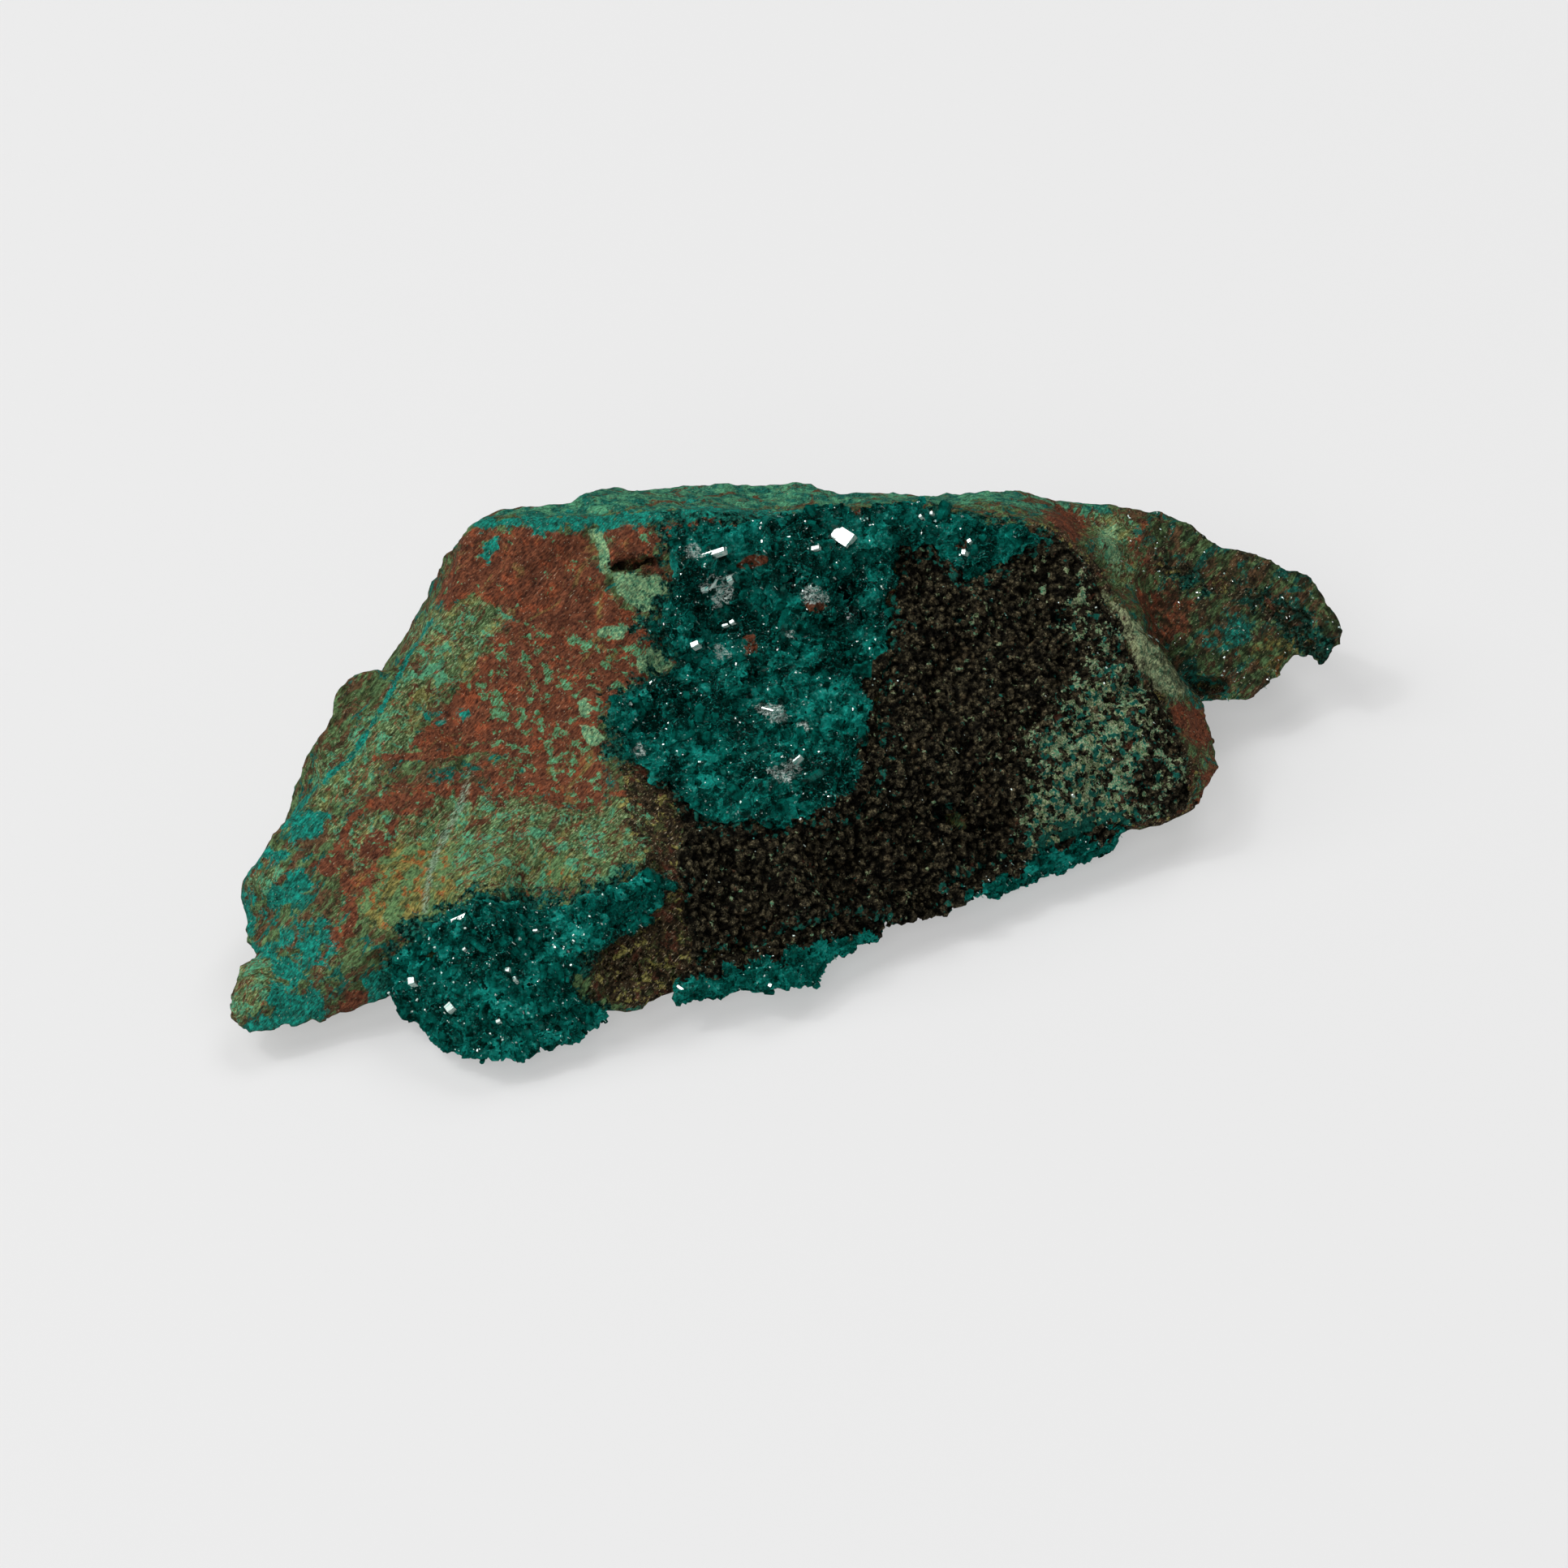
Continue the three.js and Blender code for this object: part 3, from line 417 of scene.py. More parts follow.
def raised(piece, heights):
    """Moves each vertex along its normal by its height."""
    put(piece, places_of(piece) + normals_of(piece) * heights[:, None])


def keep_above_table(piece):
    places = places_of(piece)
    places[:, 2] = np.maximum(places[:, 2], LOWEST)
    put(piece, places)


def wandering(places, reaches):
    """Noise that moves places sideways, so that straight cuts turn into natural edges."""
    moves = np.zeros_like(places)
    for reach, spacing in reaches:
        moves += reach * np.array([noise.noise_vector(Vector(place) / spacing) for place in places])
    return moves


def wandered(piece, reaches):
    places = places_of(piece)
    put(piece, places + wandering(places, reaches))


def tree_of(*nodes):
    """A search tree over CAD nodes, in millimetres."""
    corners, faces = [], []
    for node in nodes:
        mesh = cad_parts[node].data
        start = len(corners)
        corners += [vertex.co * 1000 for vertex in mesh.vertices]
        faces += [[start + k for k in polygon.vertices] for polygon in mesh.polygons]
    return BVHTree.FromPolygons(corners, faces)


def gaps_to(tree, places, limit):
    """How far each place is from the tree's surface, at most limit."""
    found = (tree.find_nearest(Vector(place), limit) for place in places)
    return np.array([limit if hit[3] is None else hit[3] for hit in found])


def on_picture_plane(places):
    across = places[:, 0] + PLANE_X
    up = (places[:, 1] + PLANE_Y) * math.sin(VIEW_TILT) + places[:, 2] * math.cos(VIEW_TILT)
    return np.stack([across, up], 1)


def distance_to_side(points, a, b):
    """How far each point is from the straight line between two corners."""
    side = b - a
    along = np.clip(((points - a) @ side) / (side @ side), 0, 1)
    return np.linalg.norm(points - a - along[:, None] * side, axis=1)


def distance_to_line(points, line):
    """How far each point is from a line of straight steps."""
    corners = np.array(line)
    return np.min([distance_to_side(points, a, b) for a, b in zip(corners, corners[1:])], axis=0)


def inside_by(points, outline):
    """How far each point is inside an outline; negative outside."""
    inside = np.zeros(len(points), bool)
    corners = np.array(outline)
    for a, b in zip(corners, np.roll(corners, -1, 0)):
        spans = (a[1] > points[:, 1]) != (b[1] > points[:, 1])
        crossing = (b[0] - a[0]) * (points[:, 1] - a[1]) / (b[1] - a[1] + 1e-12) + a[0]
        inside ^= spans & (points[:, 0] < crossing)
    distance = distance_to_line(points, (*outline, outline[0]))
    return np.where(inside, distance, -distance)


def smooth(low, high, values):
    t = np.clip((values - low) / (high - low), 0, 1)
    return t * t * (3 - 2 * t)


def paint(piece, name, values):
    """Stores one number for each vertex, for the materials to read."""
    layer = piece.data.attributes.new(name, "FLOAT", "POINT")
    layer.data.foreach_set("value", values.astype(np.float32))


def sunk(piece, pits, depth):
    """Pushes in elliptic pits of the picture plane, and gives how deep in a pit each vertex is."""
    places, normals = places_of(piece), normals_of(piece)
    points = on_picture_plane(places) + wandering(places, ((0.3, 0.9),))[:, :2]
    share = np.zeros(len(places))
    for across, up, half_width, half_height in pits:
        offset = (points - (across, up)) / (half_width, half_height)
        share = np.maximum(share, 1 - np.sum(offset ** 2, axis=1))
    share = np.clip(share, 0, 1) ** 0.6 * smooth(0.1, 0.4, normals @ np.array(TO_VIEWER))
    put(piece, places - normals * (depth * share)[:, None])
    return share


def along_lines(piece, lines):
    """How near each vertex of the display face is to a set of lines, each given with its half width."""
    points = on_picture_plane(places_of(piece))
    facing = smooth(0.0, 0.2, normals_of(piece) @ np.array(TO_VIEWER))
    near = [1 - smooth(0.0, half_width, distance_to_line(points, line)) for line, half_width in lines]
    return facing * np.max(near, axis=0)


def without_crumbs(piece):
    """Removes all but the largest connected part of a piece."""
    shape = bmesh.new()
    shape.from_mesh(piece.data)
    shape.verts.ensure_lookup_table()
    unseen = set(range(len(shape.verts)))
    parts = []
    while unseen:
        part = [unseen.pop()]
        for index in part:
            for edge in shape.verts[index].link_edges:
                other = edge.other_vert(shape.verts[index]).index
                if other in unseen:
                    unseen.remove(other)
                    part.append(other)
        parts.append(part)
    parts.sort(key=len)
    crumbs = [shape.verts[index] for part in parts[:-1] for index in part]
    bmesh.ops.delete(shape, geom=crumbs, context="VERTS")
    shape.to_mesh(piece.data)
    shape.free()


def rounded_off(piece):
    """Shades a piece smoothly."""
    for polygon in piece.data.polygons:
        polygon.use_smooth = True


def coverage(piece, outlines, feather=0.8, wander=1.0):
    """How much each vertex belongs to a set of outlines on the display face: 0.5 at their edges."""
    places = places_of(piece)
    shift = wandering(places, ((wander * 0.7, 2.6), (wander * 0.35, 0.9)))
    points = on_picture_plane(places) + shift[:, :2]
    depth = np.max([inside_by(points, outline) for outline in outlines], axis=0)
    facing = smooth(-0.15, 0.1, normals_of(piece) @ np.array(TO_VIEWER))
    return facing * smooth(-feather, feather, depth)


def stained(piece, name, outlines, feather=0.8, wander=1.0):
    paint(piece, name, coverage(piece, outlines, feather, wander))


def finished(piece, node):
    piece.data.transform(Matrix.Scale(0.001, 4))
    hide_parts(node)
    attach(piece, "root")


def rock_relief(place):
    """Height of the broken, fibrous rock surface, with low ledges and fine cracks."""
    along = place.dot(FIBRE)
    across = place - FIBRE * along
    strand = noise.noise(across / 0.8 + FIBRE * (along / 3.6))
    lumps = noise.fractal(place / 2.6, 0.8, 2.1, 4)
    level = 2.2 * noise.noise(place / 4.5 + across / 9)
    ledge = math.floor(level) + min(1.0, (level % 1.0) * 4)
    crack = max(0.0, 1 - abs(noise.noise(place / 3.7) - 0.1 * strand) / 0.035)
    return 0.22 * lumps + 0.15 * strand + 0.22 * noise.noise(place / 6.5) + 0.16 * ledge - 0.16 * crack


def nodules(place):
    """How far up the nodules of the dark crust a place is: 0 in the gaps between them, 1 on top."""
    bent = place + 0.15 * noise.noise_vector(place / 0.8)
    distances, _ = noise.voronoi(bent / 0.62)
    fine, _ = noise.voronoi(bent / 0.38)
    big = max(0.0, 1 - (distances[0] / 0.66) ** 2)
    small = max(0.0, 1 - (fine[0] / 0.66) ** 2)
    return 0.68 * big + 0.32 * small


def crust_relief(place):
    """Height of the nodules of the dark crust."""
    return 0.50 * nodules(place) + 0.40 * noise.noise(place / 2.3) - 0.08


def cleaved_relief(place, size, tilt, step):
    """Height of flat cleavage faces, each with its own slant and level."""
    _, nearest = noise.voronoi(place / size)
    centre = nearest[0]
    slant = noise.noise_vector(centre * 7.31)
    return size * tilt * slant.dot(place / size - centre) + step * noise.noise(centre * 3.7)


def crystal_template():
    """One dioptase crystal: a six-sided prism under three rhombs that meet at the tip."""
    bpy.ops.object.select_all(action="DESELECT")
    bpy.ops.mesh.primitive_cylinder_add(vertices=6, radius=1, depth=2.4, location=(0, 0, -1.2))
    crystal = bpy.context.object
    bpy.ops.object.transform_apply(location=True, rotation=True, scale=True)
    bpy.ops.object.mode_set(mode="EDIT")
    bpy.ops.mesh.select_mode(type="FACE")
    bpy.ops.mesh.select_all(action="DESELECT")
    shape = bmesh.from_edit_mesh(crystal.data)
    for face in shape.faces:
        face.select = face.normal.z > 0.9
    bmesh.update_edit_mesh(crystal.data)
    bpy.ops.mesh.poke()
    bpy.ops.object.mode_set(mode="OBJECT")
    for vertex in crystal.data.vertices:
        around = round(math.degrees(math.atan2(vertex.co.x, vertex.co.y)) / 60) % 6
        if vertex.co.z > -0.1 and vertex.co.xy.length < 0.1:
            vertex.co.z = RHOMB_DROP
        elif vertex.co.z > -0.1 and around % 2:
            vertex.co.z = -RHOMB_DROP
    corners = np.array([vertex.co for vertex in crystal.data.vertices])
    faces = [tuple(polygon.vertices) for polygon in crystal.data.polygons]
    bpy.data.objects.remove(crystal)
    return corners, faces


def new_piece(name, corners, faces):
    mesh = bpy.data.meshes.new(name)
    mesh.from_pydata(corners, [], faces)
    piece = bpy.data.objects.new(name, mesh)
    bpy.context.scene.collection.objects.link(piece)
    return piece


def copies_of(corners, faces, turns, places, name):
    """One mesh of many copies of a shape, each with its own turn-and-size matrix and place."""
    points = np.einsum("nij,kj->nki", turns, corners) + places[:, None, :]
    polygons = [tuple(k * len(corners) + i for i in face) for k in range(len(turns)) for face in faces]
    return new_piece(name, points.reshape(-1, 3).tolist(), polygons)


def turns_to(axes, spins, widths, heights):
    """Matrices that stand a shape along each axis, spun about it and sized."""
    rest = np.where(np.abs(axes[:, 2:3]) < 0.9, np.array([[0.0, 0.0, 1.0]]), np.array([[1.0, 0.0, 0.0]]))
    first = np.cross(axes, rest)
    first /= np.linalg.norm(first, axis=1, keepdims=True)
    second = np.cross(axes, first)
    cos, sin = np.cos(spins)[:, None], np.sin(spins)[:, None]
    x, y = first * cos + second * sin, second * cos - first * sin
    return np.stack([x * widths[:, None], y * widths[:, None], axes * heights[:, None]], 2)


def crystals_on(bed, rock_tree, bare, count, widths, seed):
    """Crystals standing at random on the outer side of a druse's bed, where it isn't bare."""
    polygons = bed.data.polygons
    centres, normals = numbers_of(polygons, "center", 3), numbers_of(polygons, "normal", 3)
    facing = normals @ np.array(TO_VIEWER)
    outer = gaps_to(rock_tree, centres, 1.2) > 0.55
    chance = outer * numbers_of(polygons, "area") * smooth(0.0, 0.5, facing)
    # Numbers are drawn for many more faces than bear a crystal, so that no draw depends on another's luck.
    random = np.random.default_rng(seed)
    tries = TRIES_PER_CRYSTAL * count
    tried = random.integers(0, len(polygons), tries)
    luck, size, sink, stretch, turn = random.random((5, tries))
    lean = random.normal(0, 0.55, (tries, 3))
    open_face = np.array([bare[polygons[face].vertices[0]] < 0.15 for face in tried])
    kept = (luck < chance[tried] / (TRIES_PER_CRYSTAL * chance.mean())) & open_face
    tried, size, sink, stretch, turn = tried[kept], size[kept], sink[kept], stretch[kept], turn[kept]
    axes = normals[tried] + lean[kept]
    axes /= np.linalg.norm(axes, axis=1, keepdims=True)
    low, high = widths
    sizes = low * (high / low) ** (size ** 1.7) * (0.5 + 0.5 * smooth(0.2, 0.8, facing[tried]))
    places = centres[tried] + normals[tried] * (sizes * (0.65 * sink - 0.35))[:, None]
    turns = turns_to(axes, 2 * math.pi * turn, sizes, sizes * (0.8 + 0.7 * stretch))
    return copies_of(*crystal_template(), turns, places, "crystals")


def sparkles(count, low, high, seed):
    """Places and sizes of tiny crystal faces scattered over a rectangle of the picture plane."""
    random = np.random.default_rng(seed)
    across, up = random.uniform(low[0], high[0], count), random.uniform(low[1], high[1], count)
    size = 0.028 + 0.072 * random.random(count) ** 4
    shape = random.uniform(0.6, 1.6, count)
    turn = random.uniform(0, 180, count)
    return [tuple(map(float, spot)) for spot in zip(across, up, size * shape, size, turn)]


def flake_corner(k, across, up, x, y):
    """Where a corner of a flake lies from its middle, along the flake's two half widths."""
    even = math.radians(90 * k + (52 if k % 2 else 33))
    angle = even + 0.3 * noise.noise(Vector((across, up, 3.1 * k)))
    return x * (1.2 * math.cos(angle)) + y * (1.2 * math.sin(angle))


def flakes_on(bed, spots, proud, waver):
    """Cleavage flakes turned so that they catch the key light for the viewer of the display face."""
    tree = BVHTree.FromObject(bed, bpy.context.evaluated_depsgraph_get())
    half_way = (TO_VIEWER + KEY_DIRECTION).normalized()
    ring = range(FLAKE_CORNERS)
    corners, faces = [], []
    for across, up, half_width, half_height, turn in spots:
        start = Vector((across - PLANE_X, up / math.sin(VIEW_TILT) - PLANE_Y, 0))
        hit = tree.ray_cast(start + TO_VIEWER * 200, -TO_VIEWER)[0]
        if hit is None:
            continue
        facing = (half_way + waver * noise.noise_vector(Vector((across, up, 0.5)))).normalized()
        cos, sin = math.cos(math.radians(turn)), math.sin(math.radians(turn))
        x = Vector((cos, sin * math.sin(VIEW_TILT), sin * math.cos(VIEW_TILT)))
        x = (x - facing * x.dot(facing)).normalized()
        y = facing.cross(x)
        first = len(corners)
        for depth in (proud, -FLAKE_ROOT):
            for k in ring:
                offset = flake_corner(k, across, up, x * half_width, y * half_height)
                corners.append(hit + offset + facing * depth)
        faces.append([first + k for k in ring])
        faces.append([first + FLAKE_CORNERS + k for k in reversed(ring)])
        for k in ring:
            below, after = first + FLAKE_CORNERS, (k + 1) % FLAKE_CORNERS
            faces.append([below + k, below + after, first + after, first + k])
    return new_piece("flakes", corners, faces)


def joined(first, *others):
    bpy.ops.object.select_all(action="DESELECT")
    for piece in (first, *others):
        piece.select_set(True)
    bpy.context.view_layer.objects.active = first
    bpy.ops.object.join()
    return first


class Recipe:
    """Short hand for the nodes of one material."""

    def __init__(self, name):
        self.material = bpy.data.materials.new(name)
        self.material.use_nodes = True
        self.tree = self.material.node_tree
        self.palette = bpy.context.scene.specimen_colours
        self.shader = self.tree.nodes["Principled BSDF"]
        where = self.add("ShaderNodeTexCoord").outputs["Object"]
        self.place = self.add("ShaderNodeMapping", {"Vector": where, "Scale": (1000, 1000, 1000)}).outputs[0]

    def add(self, kind, inputs=None, **settings):
        node = self.tree.nodes.new(kind)
        for key, value in settings.items():
            setattr(node, key, value)
        for key, value in (inputs or {}).items():
            if isinstance(value, bpy.types.NodeSocket):
                self.tree.links.new(value, node.inputs[key])
            else:
                node.inputs[key].default_value = value
        return node

    def noise(self, size, detail=3, roughness=0.55, place=None, swirl=0.0):
        inputs = {"Vector": place or self.place, "Scale": 1 / size, "Detail": detail, "Roughness": roughness}
        inputs["Distortion"] = swirl
        return self.add("ShaderNodeTexNoise", inputs).outputs["Fac"]

    def cells(self, size, output="Distance", feature="F1", place=None):
        inputs = {"Vector": place or self.place, "Scale": 1 / size}
        return self.add("ShaderNodeTexVoronoi", inputs, feature=feature).outputs[output]

    def turned(self, axis, stretch):
        """The place stretched along an axis, for fibres and streaks."""
        turn = Vector((0, 0, 1)).rotation_difference(axis).inverted().to_euler()
        scaled = self.add("ShaderNodeMapping", {"Vector": self.place, "Rotation": turn}).outputs[0]
        return self.add("ShaderNodeMapping", {"Vector": scaled, "Scale": (1, 1, 1 / stretch)}).outputs[0]

    def facets(self, size, slope):
        """Height of small flat faces, each slanting its own way."""
        cell = self.add("ShaderNodeTexVoronoi", {"Vector": self.place, "Scale": 1 / size})
        offset = self.vectors("SUBTRACT", self.place, cell.outputs["Position"]).outputs[0]
        lean = self.vectors("SUBTRACT", cell.outputs["Color"], (0.5, 0.5, 0.5)).outputs[0]
        return self.math("MULTIPLY", self.vectors("DOT_PRODUCT", lean, offset).outputs["Value"], slope)

    def painted(self, name):
        return self.add("ShaderNodeAttribute", attribute_name=name).outputs["Fac"]

    def vectors(self, operation, a, b):
        return self.add("ShaderNodeVectorMath", {0: a, 1: b}, operation=operation)

    def math(self, operation, a, b=0.0, c=0.0):
        return self.add("ShaderNodeMath", {0: a, 1: b, 2: c}, operation=operation).outputs[0]

    def ramp(self, value, low, high, to_low=0.0, to_high=1.0):
        inputs = {"Value": value, "From Min": low, "From Max": high, "To Min": to_low, "To Max": to_high}
        return self.add("ShaderNodeMapRange", inputs, interpolation_type="SMOOTHSTEP").outputs[0]

    def colour(self, value):
        """A colour from its name among the specimen's colours, or from its three numbers."""
        if isinstance(value, str):
            value = getattr(self.palette, value)
        return value if isinstance(value, bpy.types.NodeSocket) else (*value, 1)

    def mix(self, share, a, b, blend="MIX"):
        inputs = {0: share, 6: self.colour(a), 7: self.colour(b)}
        return self.add("ShaderNodeMix", inputs, data_type="RGBA", blend_type=blend).outputs[2]

    def layered(self, colour, *layers):
        """A colour with others laid over it in turn, each after its share."""
        for share, layer in layers:
            colour = self.mix(share, colour, layer)
        return colour

    def shaded(self, colour, share, low, high):
        """A colour darkened or lightened by a factor that runs from low to high with a share."""
        return self.mix(1.0, colour, self.mix(share, (low,) * 3, (high,) * 3), "MULTIPLY")

    def swayed(self, base, value, middle, amount):
        """A number raised where a value is above its middle, and lowered where it is below."""
        return self.math("MULTIPLY_ADD", self.math("SUBTRACT", value, middle), amount, base)

    def edge(self, mask, wobble, amount=0.9, width=0.06):
        """A painted mask with a ragged, sharp edge."""
        return self.ramp(self.swayed(mask, wobble, 0.5, amount), 0.5 - width, 0.5 + width)

    def bump(self, height, distance, strength=1.0, normal=None):
        inputs = {"Height": height, "Distance": distance * 0.001, "Strength": strength}
        if normal is not None:
            inputs["Normal"] = normal
        return self.add("ShaderNodeBump", inputs).outputs[0]

    def set(self, **values):
        for key, value in values.items():
            socket = self.shader.inputs[key.replace("_", " ")]
            if isinstance(value, bpy.types.NodeSocket):
                self.tree.links.new(value, socket)
            else:
                socket.default_value = value
        return self.material


def rock_ground(r, strand, long_fibres):
    return r.layered(
        r.mix(r.ramp(strand, 0.40, 0.60), "olive", "green"),
        (r.ramp(r.noise(1.0, 5, 0.68, long_fibres, 0.6), 0.49, 0.55), "brown"),
        (r.ramp(r.noise(1.5, 6, 0.68, long_fibres, 0.8), 0.545, 0.585), "teal_dull"),
        (r.ramp(r.noise(0.9, 5, 0.68, long_fibres), 0.57, 0.61), "crust_brown"),
    )


def rock_material():
    """Copper-stained rock: fibrous green and brown ground under stains and coatings, with painted shade on
    the lobe and in the pits.
    """
    r = Recipe("host_rock_stained")
    fibres = r.turned(FIBRE, 3.8)
    long_fibres = r.turned(FIBRE, 2.2)
    strand = r.noise(0.50, 6, 0.74, fibres)
    fine_strand = r.noise(0.15, 4, 0.75, fibres)
    speck = r.noise(0.42, 6, 0.76)
    edge_noise = r.noise(1.5, 8, 0.72, None, 0.6)
    flow = r.noise(2.6, 6, 0.66, long_fibres, 1.4)
    thread = r.math("ABSOLUTE", r.math("SUBTRACT", r.noise(2.4, 4, 0.6, long_fibres, 1.0), 0.5))
    threads = r.math("MULTIPLY", r.ramp(thread, 0.004, 0.018, 1.0, 0.0), r.ramp(speck, 0.42, 0.52))

    green = r.layered(
        r.mix(r.ramp(strand, 0.34, 0.66), "olive", "green"),
        (r.ramp(flow, 0.36, 0.48, 0.7, 0.0), "ochre"),
        (r.ramp(fine_strand, 0.52, 0.66, 0.0, 0.7), "pale_green"),
        (r.ramp(r.noise(0.8, 5, 0.68, fibres), 0.56, 0.62, 0.0, 0.85), "brown"),
        (r.ramp(r.noise(1.6, 7, 0.7, None, 0.5), 0.525, 0.56), "mint"),
        (threads, "red"),
        (r.ramp(r.noise(1.1, 7, 0.72, long_fibres, 1.2), 0.56, 0.585, 0.0, 0.9), "red_dark"),
    )
    ochre = r.layered(
        r.mix(r.ramp(strand, 0.40, 0.60), "ochre", "olive"),
        (r.ramp(flow, 0.46, 0.54), "green"),
        (r.ramp(r.noise(0.9, 5, 0.68), 0.54, 0.60), "orange"),
    )
    flecks = r.math("MULTIPLY_ADD", r.painted("flecked"), 0.075, r.noise(0.95, 8, 0.68, None, 0.3))
    flecks = r.math("MULTIPLY_ADD", r.noise(2.8, 3, 0.55), 0.45, flecks)
    red = r.layered(
        r.mix(r.ramp(strand, 0.38, 0.62), "red_dark", "red"),
        (r.ramp(r.noise(1.4, 5, 0.62), 0.52, 0.62, 0.0, 0.7), "red_bright"),
        (r.ramp(flow, 0.30, 0.42, 0.6, 0.0), "ochre"),
        (r.ramp(flecks, 0.852, 0.872), r.mix(r.ramp(fine_strand, 0.42, 0.62), "green", "mint")),
        (r.ramp(fine_strand, 0.67, 0.72, 0.0, 0.8), "straw"),
    )
    pale = r.layered(
        r.mix(r.ramp(speck, 0.36, 0.66), "mint", "pale_green"),
        (r.math("MULTIPLY", threads, 0.6), "olive"),
    )
    teal = r.mix(r.ramp(r.noise(0.6, 5, 0.68), 0.42, 0.58), "teal_dull", "teal")
    drusy = r.mix(r.ramp(speck, 0.44, 0.58), "dioptase_deep", "teal_dull")
    strip = r.layered(
        r.mix(r.ramp(r.noise(1.2, 5, 0.65), 0.40, 0.60), "teal_dull", "mint"),
        (r.ramp(flow, 0.55, 0.61), "brown"),
    )
    dark = r.layered(
        r.mix(r.ramp(speck, 0.42, 0.60), "crust", "crust_brown"),
        (r.ramp(r.noise(0.9, 7, 0.72), 0.55, 0.59), "olive"),
        (r.ramp(r.noise(1.1, 7, 0.72, None, 0.6), 0.56, 0.60), "ochre"),
        (r.ramp(r.noise(1.3, 7, 0.72, None, 0.6), 0.55, 0.60), "red_dark"),
        (r.ramp(fine_strand, 0.60, 0.66, 0.0, 0.6), "straw"),
    )

    stains = (
        ("strip", strip, 1.2),
        ("green", green, 2.2),
        ("ochre", ochre, 2.4),
        ("red", red, 2.0),
        ("pale", pale, 1.3),
        ("teal", teal, 2.0),
        ("vein", teal, 1.9),
    )
    overgrown = r.edge(r.painted("drusy"), r.noise(0.9, 6, 0.72), 2.4)
    silvered = r.edge(r.painted("grey"), edge_noise, 1.8, 0.25)
    dry = r.edge(r.painted("ridge"), edge_noise, 1.6, 0.12)
    grains = r.ramp(r.noise(0.7, 5, 0.65), 0.40, 0.60, 0.8, 0.1)
    colour = r.layered(
        rock_ground(r, strand, long_fibres),
        *((r.edge(r.painted(name), edge_noise, ragged), stain) for name, stain, ragged in stains),
        (r.math("MULTIPLY", silvered, r.ramp(fine_strand, 0.4, 0.6)), "grey"),
        (overgrown, drusy),
        (r.edge(r.painted("dark"), edge_noise, 2.2), dark),
        (r.math("MULTIPLY", dry, r.ramp(speck, 0.36, 0.58, 0.0, 0.95)), "dry_green"),
        # Painted shade: the lobe is darkened with dark grains.
        (r.math("MULTIPLY", r.painted("lobe"), grains), "shadow_olive"),
    )
    tone = r.math("ADD", r.math("MULTIPLY", fine_strand, 0.62), r.math("MULTIPLY", speck, 0.38))
    colour = r.layered(
        r.shaded(colour, r.ramp(tone, 0.37, 0.63), 0.26, 1.90),
        (r.ramp(r.noise(0.13, 1, 0.4, long_fibres), 0.70, 0.77, 0.0, 0.75), "straw"),
        # Painted shade: the pits of the slit darken towards near-black.
        (r.ramp(r.painted("pit"), 0.30, 0.85), ROCK_PIT_SHADE),
    )

    relief = r.bump(strand, 0.35)
    relief = r.bump(fine_strand, 0.16, 1.0, relief)
    relief = r.bump(r.math("MULTIPLY", r.facets(0.22, 1.6), overgrown), 1.0, 1.0, relief)
    rough = r.math("SUBTRACT", r.ramp(speck, 0.3, 0.7, 0.62, 0.95), r.math("MULTIPLY", overgrown, 0.45))
    return r.set(Base_Color=colour, Roughness=rough, Specular_IOR_Level=0.25, Normal=relief)


def crust_material():
    """Brown-black nodules, with painted light and shade on their grains, painted shade in the gaps between
    them, painted glints, and pale green and teal specks where they are painted.
    """
    r = Recipe("dark_crust_nodular")
    fine = r.noise(0.15, 3, 0.7)
    grain = r.cells(0.46)
    speckle = r.painted("speckle")
    colour = r.layered(
        r.mix(r.ramp(fine, 0.42, 0.60), "crust", "crust_light"),
        (r.ramp(r.noise(2.6, 5, 0.65), 0.52, 0.68, 0.0, 0.6), "crust_brown"),
    )
    # Painted light and shade: each grain is lighter at its middle and darker towards its edges, and darker
    # still in the gaps between the nodules.
    colour = r.shaded(colour, r.ramp(grain, 0.22, 0.62), 1.5, 0.45)
    colour = r.shaded(colour, r.ramp(r.painted("gap"), 0.15, 0.75), 1.7, 0.40)
    pale = r.layered(
        r.mix(r.ramp(r.noise(1.4, 3, 0.6), 0.45, 0.55), "green", "mint"),
        (r.ramp(fine, 0.44, 0.58), "beige"),
    )
    specks = r.math("MULTIPLY_ADD", speckle, 0.160, r.noise(0.85, 5, 0.62))
    spots = r.math("MULTIPLY_ADD", speckle, 0.125, r.noise(0.7, 3, 0.55))
    spots = r.math("MULTIPLY_ADD", r.painted("near_druse"), 0.15, spots)
    red = r.math("MULTIPLY_ADD", speckle, 0.04, r.noise(1.6, 5, 0.6))
    # Painted shade: the gaps between the nodules and the pits darken to near-black, less where the crust is
    # speckled.
    gap = r.math("MULTIPLY_ADD", speckle, -0.30, r.painted("gap"))
    colour = r.layered(
        colour,
        (r.ramp(specks, 0.640, 0.654), pale),
        (r.ramp(spots, 0.68, 0.70), "teal_dull"),
        (r.ramp(red, 0.665, 0.70, 0.0, 0.8), "red_dark"),
        # Painted glints: tiny pale dots on the nodules.
        (r.ramp(r.noise(0.11, 1, 0.4), 0.735, 0.78, 0.0, 0.7), "straw"),
        (r.ramp(gap, 0.55, 0.95, 0.0, 0.85), CRUST_GAP_SHADE),
    )
    relief = r.bump(r.math("SUBTRACT", 1.0, grain), 0.45)
    relief = r.bump(fine, 0.16, 1.0, relief)
    relief = r.bump(r.facets(0.20, 1.2), 1.0, 1.0, relief)
    wet = r.ramp(r.noise(0.5, 3, 0.6), 0.50, 0.60)
    rough = r.math("MULTIPLY_ADD", wet, -0.45, 0.85)
    return r.set(Base_Color=colour, Roughness=rough, Specular_IOR_Level=0.25, Normal=relief)


